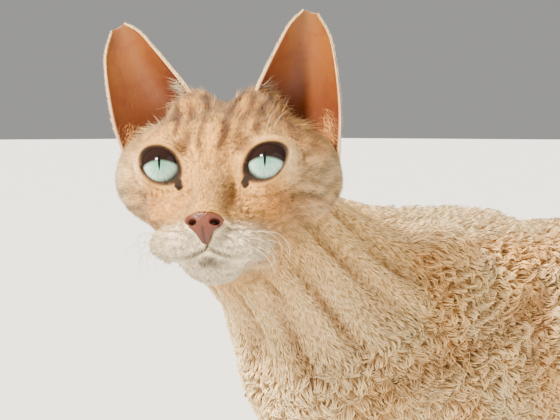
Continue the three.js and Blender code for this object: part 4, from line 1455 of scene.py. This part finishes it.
def earAxes(side, across, along, skinSide):
    step = earFur["step"]
    root = earPoints(side, across, along, skinSide)
    above = np.minimum(along + step, 1.0)
    alongWay = earPoints(side, across, above, skinSide) - earPoints(side, across, above - step, skinSide)
    order = np.where(across < 0.5, 1, -1)
    acrossWay = (earPoints(side, across + step * order, along, skinSide) - root) * order[:, None]
    alongWay, acrossWay = unit(alongWay), unit(acrossWay)
    normal = unit(np.cross(acrossWay, alongWay)) * sideSigns[side]
    return root, alongWay, acrossWay, -normal if skinSide == "back" else normal


def makeEarFur(side):
    built = []
    for plan, (across, along) in zip(earFurPlans, earFurPlaces()):
        count = len(across)
        root, alongWay, acrossWay, normal = earAxes(side, across, along, plan["skin"])
        way = alongWay * plan["way"][1] + acrossWay * plan["way"][0]
        length, width = plan["size"]
        way += earFur["loose"][length > earFur["long"]] * rng.normal(size=way.shape)
        way = unit(flattened(way, normal))
        reach = length * (0.6 + 0.8 * rng.random(count)) * (1 - 0.6 * smoothStep(0.7, 1.0, along))
        ends = [root - normal * earFur["root"], root + way * reach[:, None] + normal * plan["rise"]]
        widths = width * (0.8 + 0.4 * rng.random(count))[:, None]
        tone = np.array(tones[plan["tone"]]) * 0.8 + np.array(tones["apricot"]) * 0.2
        tint = (0.85 + 0.3 * rng.random(count))[:, None] * tone * earFur["shade"][plan["skin"]]
        patches = np.stack([0.02 + 0.96 * across, 0.02 + 0.96 * along], 1)
        sides = np.cross(normal, way) @ headAxes.T
        colours = np.repeat(np.clip(tint, 0, 1)[:, None], 2, axis=1)
        built.append((fromHead(np.stack(ends, 1)), widths, sides, colours, patches))
    return buildLocks("earFur_" + side, *[np.concatenate(values) for values in zip(*built)])


earFurPieces = makeEarFur("left") + makeEarFur("right")
print("ear fur made")


# Whiskers: short curled single hairs from the pads, and a few over the eyes.

whisker = {
    "rows": 3, "columns": 3, "length": (9, 19), "turn": (40, 150), "radius": 0.19,
    "sides": 5, "thinEnd": 0.3,
    "brows": 2, "browLength": (6, 10), "browTurn": 50, "browRadius": 0.114,
    "reach": 60.0, "proud": -0.3, "halvings": 24,
}


def curledLine(root, out, toward, turn, length, steps=16):
    out = unit(out)
    toward = unit(toward - out * (toward @ out))
    angles = math.radians(turn) * np.linspace(0, 1, steps)[:-1] ** 1.3
    ways = out * np.cos(angles)[:, None] + toward * np.sin(angles)[:, None]
    return root + np.vstack([np.zeros(3), np.cumsum(ways, axis=0)]) * length / (steps - 1)


def makeWhiskers():
    draws = np.random.default_rng(9)
    made = []

    def add(start, aim, out, toward, length, turn, radius):
        root = faceSurface(np.array(start), unit(np.array(aim))[None], whisker)[0]
        line = fromHead(curledLine(root, out, toward, turn, length))
        radii = radius * np.linspace(1, whisker["thinEnd"], len(line))
        made.append(tubeAlong(f"whisker_{len(made)}", line, radii, whisker["sides"]))

    for sign in sideSigns.values():
        back = 0.45 if sign > 0 else 0.05
        for row in range(whisker["rows"]):
            for column in range(whisker["columns"]):
                aim = (sign * (0.62 + 0.16 * column), -0.8 + 0.2 * column, 0.1 - 0.2 * row)
                out = np.array([sign * 0.85, back + 0.1 * column, 0.22 - 0.26 * row])
                out += 0.1 * draws.normal(size=3)
                toward = np.array([0.0, 0.35, -1.0]) + 0.3 * draws.normal(size=3)
                length, turn = draws.uniform(*whisker["length"]), draws.uniform(*whisker["turn"])
                add((sign * 8.0, -10.0, -30.0), aim, out, toward, length, turn, whisker["radius"])
        for number in range(whisker["brows"]):
            start = (sign * (16.0 + 3 * number), 4.0, 4.0)
            aim = (sign * 0.35, -0.6, 0.75 + 0.1 * number)
            out = np.array([sign * (0.25 + 0.2 * number), -0.5, 0.85])
            toward = np.array([sign * 0.5, 0.6, 0.0])
            length = draws.uniform(*whisker["browLength"])
            add(start, aim, out, toward, length, whisker["browTurn"], whisker["browRadius"])
    joined = joinAll(made, "whiskers")
    smartUnwrap(joined)
    return joined


whiskers = makeWhiskers()
print("whiskers made")


# Materials.


def feed(tree, node, inputs):
    for key, value in inputs.items():
        if isinstance(value, bpy.types.NodeSocket):
            tree.links.new(value, node.inputs[key])
        elif node.inputs[key].type == "RGBA":
            node.inputs[key].default_value = (*value, 1.0)
        else:
            node.inputs[key].default_value = value


def addNode(tree, kind, inputs, **settings):
    node = tree.nodes.new(kind)
    for key, value in settings.items():
        setattr(node, key, value)
    feed(tree, node, inputs)
    return node


def newMaterial(name):
    material = bpy.data.materials.new(name)
    material.use_nodes = True
    return material, material.node_tree, material.node_tree.nodes["Principled BSDF"]


def attribute(tree, name, output):
    return addNode(tree, "ShaderNodeAttribute", {}, attribute_name=name).outputs[output]


def objectPlace(tree):
    return addNode(tree, "ShaderNodeTexCoord", {}).outputs["Object"]


def noiseNode(tree, scale, detail, place):
    inputs = {"Scale": scale, "Detail": detail, "Vector": place}
    return addNode(tree, "ShaderNodeTexNoise", inputs).outputs["Fac"]


def bumpNode(tree, strength, distance, height, **settings):
    inputs = {"Strength": strength, "Distance": distance, "Height": height}
    return addNode(tree, "ShaderNodeBump", inputs, **settings).outputs["Normal"]


def mathNode(tree, operation, *values):
    return addNode(tree, "ShaderNodeMath", dict(enumerate(values)), operation=operation).outputs[0]


def mixColour(tree, share, first, second, mode="MIX"):
    inputs = {0: share, 6: first, 7: second}
    return addNode(tree, "ShaderNodeMix", inputs, data_type="RGBA", blend_type=mode).outputs[2]


def rampNode(tree, source, stops):
    node = addNode(tree, "ShaderNodeValToRGB", {0: source})
    ramp = node.color_ramp
    while len(ramp.elements) < len(stops):
        ramp.elements.new(0.5)
    for element, (place, colour) in zip(ramp.elements, stops):
        element.position = place
        element.color = (*colour, 1.0)
    return node.outputs[0]


# Fine uneven darkening of the coat's colour, shared by the locks and the skin.
def makeCoatShade():
    group = bpy.data.node_groups.new("coatShade", "ShaderNodeTree")
    sockets = (
        ("Coat Colour", "INPUT", "NodeSocketColor"), ("Dark Tone", "INPUT", "NodeSocketColor"),
        ("Scale", "INPUT", "NodeSocketFloat"), ("Detail", "INPUT", "NodeSocketFloat"),
        ("Colour", "OUTPUT", "NodeSocketColor"), ("Relief", "OUTPUT", "NodeSocketFloat"),
    )
    for name, way, kind in sockets:
        group.interface.new_socket(name=name, in_out=way, socket_type=kind)
    given = addNode(group, "NodeGroupInput", {}).outputs
    noise = noiseNode(group, given["Scale"], given["Detail"], objectPlace(group))
    share = addNode(group, "ShaderNodeMapRange", {0: noise, 1: 0.3, 2: 0.7, 3: 0.0, 4: 1.0}).outputs[0]
    shade = mixColour(group, share, given["Dark Tone"], (1.0, 1.0, 1.0))
    colour = mixColour(group, 1.0, given["Coat Colour"], shade, "MULTIPLY")
    addNode(group, "NodeGroupOutput", {"Colour": colour, "Relief": noise})
    return group


coatShade = makeCoatShade()


def coatShadeNode(tree, scale, detail, darkTone):
    node = addNode(tree, "ShaderNodeGroup", {}, node_tree=coatShade)
    colour = attribute(tree, "coatColour", "Color")
    feed(tree, node, {"Coat Colour": colour, "Dark Tone": darkTone, "Scale": scale, "Detail": detail})
    return node.outputs["Colour"], node.outputs["Relief"]


def furMaterial():
    material, tree, shader = newMaterial("fur")
    colour = coatShadeNode(tree, 190.0, 3.0, (0.80, 0.78, 0.75))[0]
    feed(tree, shader, {
        "Base Color": colour, "Roughness": 0.72, "Specular IOR Level": 0.25,
        "Sheen Weight": 0.05, "Sheen Roughness": 0.5,
    })
    return material


def skinMaterial():
    material, tree, shader = newMaterial("skin")
    colour, relief = coatShadeNode(tree, 900.0, 4.0, (0.78, 0.76, 0.72))
    feed(tree, shader, {
        "Base Color": colour, "Roughness": 0.8, "Specular IOR Level": 0.1,
        "Normal": bumpNode(tree, 0.4, 0.0004, relief),
    })
    return material


# The iris, from its middle outwards. Its dark outer band is partly its own dark rim, partly painted shade at
# the sides of the ball.
irisTones = [
    (0.0, (0.12, 0.26, 0.18)),
    (0.20, (0.15, 0.33, 0.24)),
    (0.42, (0.26, 0.46, 0.38)),
    (0.60, (0.42, 0.60, 0.52)),
    (0.69, (0.10, 0.14, 0.11)),
    (0.76, (0.012, 0.008, 0.006)),
]
pupil = {"halfWidth": 0.048, "halfHeight": 0.34, "pointed": 2.2, "tone": (0.004, 0.004, 0.004)}


def eyeMaterial():
    material, tree, shader = newMaterial("eyeGlass")
    gaze = addNode(tree, "ShaderNodeSeparateXYZ", {0: attribute(tree, "gaze", "Vector")})
    across, over = gaze.outputs[0], gaze.outputs[1]
    acrossSquare = mathNode(tree, "MULTIPLY", across, across)
    far = mathNode(tree, "SQRT", mathNode(tree, "ADD", acrossSquare, mathNode(tree, "MULTIPLY", over, over)))
    turn = mathNode(tree, "ARCTAN2", over, across)
    spread = addNode(tree, "ShaderNodeCombineXYZ", {
        0: mathNode(tree, "MULTIPLY", mathNode(tree, "COSINE", turn), 3.0),
        1: mathNode(tree, "MULTIPLY", mathNode(tree, "SINE", turn), 3.0),
        2: mathNode(tree, "MULTIPLY", far, 0.6),
    }).outputs[0]
    fibres = [(0.35, (0.55, 0.55, 0.55)), (0.65, (1.15, 1.15, 1.15))]
    fibre = rampNode(tree, noiseNode(tree, 7.0, 6.0, spread), fibres)
    iris = mixColour(tree, 1.0, rampNode(tree, far, irisTones), fibre, "MULTIPLY")
    # The upper part of the iris is darkened: painted shade of the upper lid and a painted dark reflection.
    height = mathNode(tree, "ADD", over, mathNode(tree, "MULTIPLY", acrossSquare, 0.35))
    edges = {0: height, 1: -0.06, 2: 0.12, 3: 0.0, 4: 1.0}
    shade = addNode(tree, "ShaderNodeMapRange", edges, interpolation_type="SMOOTHSTEP").outputs[0]
    iris = mixColour(tree, shade, iris, (0.012, 0.006, 0.005))
    narrow = mathNode(tree, "ABSOLUTE", mathNode(tree, "DIVIDE", across, pupil["halfWidth"]))
    tall = mathNode(tree, "ABSOLUTE", mathNode(tree, "DIVIDE", over, pupil["halfHeight"]))
    tall = mathNode(tree, "POWER", tall, pupil["pointed"])
    inPupil = mathNode(tree, "LESS_THAN", mathNode(tree, "ADD", narrow, tall), 1.0)
    feed(tree, shader, {
        "Base Color": mixColour(tree, inPupil, iris, pupil["tone"]), "Roughness": 0.12,
        "Coat Weight": 0.15, "Coat Roughness": 0.02, "Specular IOR Level": 0.05,
    })
    return material


def noseMaterial():
    material, tree, shader = newMaterial("noseSkin")
    pebble = addNode(tree, "ShaderNodeTexVoronoi", {"Scale": 1500.0, "Vector": objectPlace(tree)})
    pebble = pebble.outputs["Distance"]
    base = rampNode(tree, pebble, [(0.0, (0.135, 0.025, 0.004)), (0.6, (0.08, 0.013, 0.002))])
    feed(tree, shader, {
        "Base Color": mixColour(tree, attribute(tree, "hollowShade", "Fac"), base, (0.03, 0.008, 0.005)),
        "Roughness": 0.45, "Coat Weight": 0.08,
        "Normal": bumpNode(tree, 0.5, 0.0002, pebble, invert=True),
    })
    return material


# The inside of the ear, from its base to its tip: painted light shining through the thin skin, brightest
# near the tip, with painted shade down at the base.
earGlowAndShadeTones = [
    (0.0, (0.018, 0.005, 0.003)),
    (0.2, (0.055, 0.012, 0.004)),
    (0.42, (0.10, 0.020, 0.001)),
    (0.75, (0.17, 0.048, 0.002)),
    (1.0, (0.18, 0.060, 0.006)),
]


def earMaterial():
    material, tree, shader = newMaterial("earSkin")
    glow = rampNode(tree, attribute(tree, "height", "Fac"), earGlowAndShadeTones)
    edge = attribute(tree, "edge", "Fac")
    rimShare = rampNode(tree, edge, [(0.0, (1.0, 1.0, 1.0)), (0.016, (0.0, 0.0, 0.0))])
    colour = mixColour(tree, rimShare, glow, (0.72, 0.46, 0.27))
    veins = [(0.44, (1.0, 1.0, 1.0)), (0.5, (0.90, 0.74, 0.70)), (0.56, (1.0, 1.0, 1.0))]
    vein = rampNode(tree, noiseNode(tree, 60.0, 3.0, objectPlace(tree)), veins)
    colour = mixColour(tree, 1.0, colour, vein, "MULTIPLY")
    inside = attribute(tree, "inside", "Fac")
    colour = mixColour(tree, inside, (0.52, 0.29, 0.11), colour)
    # The inside glows by itself: painted light shining through the ear.
    feed(tree, shader, {
        "Base Color": colour, "Roughness": 0.55,
        "Emission Color": mixColour(tree, inside, (0.0, 0.0, 0.0), colour), "Emission Strength": 0.5,
        "Subsurface Weight": 0.08, "Subsurface Radius": (0.004, 0.0015, 0.0008),
    })
    return material


def plainMaterial(name, colour, roughness, coatWeight=0.0):
    material, tree, shader = newMaterial(name)
    feed(tree, shader, {"Base Color": colour, "Roughness": roughness, "Coat Weight": coatWeight})
    return material


looks = {
    "fur": furMaterial(),
    "skin": skinMaterial(),
    "eye": eyeMaterial(),
    "nose": noseMaterial(),
    "ear": earMaterial(),
    "rim": plainMaterial("lidSkin", (0.012, 0.007, 0.005), 0.4, 0.1),
    "whisker": plainMaterial("whiskerHair", (0.52, 0.40, 0.25), 0.5),
}


def finishPiece(obj, look):
    obj.data.materials.clear()
    obj.data.materials.append(looks[look])
    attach(obj, "root")


finishPiece(skin, "skin")
for piece in coatPieces:
    finishPiece(piece, "fur")
for piece in earFurPieces:
    finishPiece(piece, "fur")
for side in sideSigns:
    finishPiece(eyes[side], "eye")
    finishPiece(ears[side], "ear")
    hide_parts("eye_" + side)
    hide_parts("ear_" + side)
finishPiece(lidRims, "rim")
finishPiece(noseLeather, "nose")
finishPiece(whiskers, "whisker")
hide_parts("nose")
fleshNodes = [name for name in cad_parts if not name.startswith(("eye_", "ear_", "nose"))]
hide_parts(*fleshNodes)
print("pieces dressed")


# The camera of the photo, a pale floor and soft studio light.

photo = {
    "width": 560, "height": 420, "focal": 2550, "azimuth": 45, "elevation": 2, "sensor": 36.0,
    "distance": 1000, "target": headPose["place"], "targetPixel": (217, 167),
}
# A light's way is how far it stands to the right of the picture, towards the camera and up.
studio = {
    "floorSize": 60.0,
    "floorTone": (0.78, 0.76, 0.73),
    "worldTone": (0.80, 0.79, 0.77),
    "worldStrength": 0.45,
    "key": {"power": 18.0, "tone": (1.0, 0.93, 0.80), "softness": 11.0, "way": (-0.72, 0.68, 0.86)},
    "fill": {"power": 1.8, "tone": (1.0, 0.95, 0.88), "softness": 60.0, "way": (0.85, 0.65, 0.50)},
}
azimuth, elevation = math.radians(photo["azimuth"]), math.radians(photo["elevation"])
toRight = np.array([math.cos(azimuth), math.sin(azimuth), 0.0])
toCamera = np.array([math.sin(azimuth), -math.cos(azimuth), 0.0])
upright = np.array([0.0, 0.0, 1.0])


def placeCamera():
    back = toCamera * math.cos(elevation) + upright * math.sin(elevation)
    up = np.cross(back, toRight)
    perPixel = photo["distance"] / photo["focal"]
    place = np.array(photo["target"]) + back * photo["distance"]
    place -= toRight * (photo["targetPixel"][0] - photo["width"] / 2) * perPixel
    place += up * (photo["targetPixel"][1] - photo["height"] / 2) * perPixel
    data = bpy.data.cameras.new("photoCamera")
    data.sensor_width = photo["sensor"]
    data.lens = photo["focal"] / photo["width"] * photo["sensor"]
    data.dof.use_dof = False
    camera = bpy.data.objects.new("photoCamera", data)
    bpy.context.scene.collection.objects.link(camera)
    matrix = Matrix(np.stack([toRight, up, back], 1).tolist()).to_4x4()
    matrix.translation = Vector(toScene(place))
    camera.matrix_world = matrix
    bpy.context.scene.camera = camera


def placeFloor():
    bpy.ops.mesh.primitive_plane_add(size=studio["floorSize"])
    floor = bpy.context.object
    floor.name = "studioFloor"
    floor.data.materials.append(plainMaterial("floorPaper", studio["floorTone"], 0.9))


def placeLight(name):
    look = studio[name]
    data = bpy.data.lights.new(name + "Light", "SUN")
    data.energy = look["power"]
    data.color = look["tone"]
    data.angle = math.radians(look["softness"])
    light = bpy.data.objects.new(name + "Light", data)
    bpy.context.scene.collection.objects.link(light)
    right, near, up = look["way"]
    way = Vector(right * toRight + near * toCamera + up * upright)
    light.rotation_euler = way.to_track_quat("Z", "Y").to_euler()


def lightWorld():
    world = bpy.data.worlds.new("studioWorld")
    bpy.context.scene.world = world
    world.use_nodes = True
    background = world.node_tree.nodes["Background"]
    background.inputs["Color"].default_value = (*studio["worldTone"], 1.0)
    background.inputs["Strength"].default_value = studio["worldStrength"]


placeCamera()
placeFloor()
placeLight("key")
placeLight("fill")
lightWorld()
print("camera and light placed")
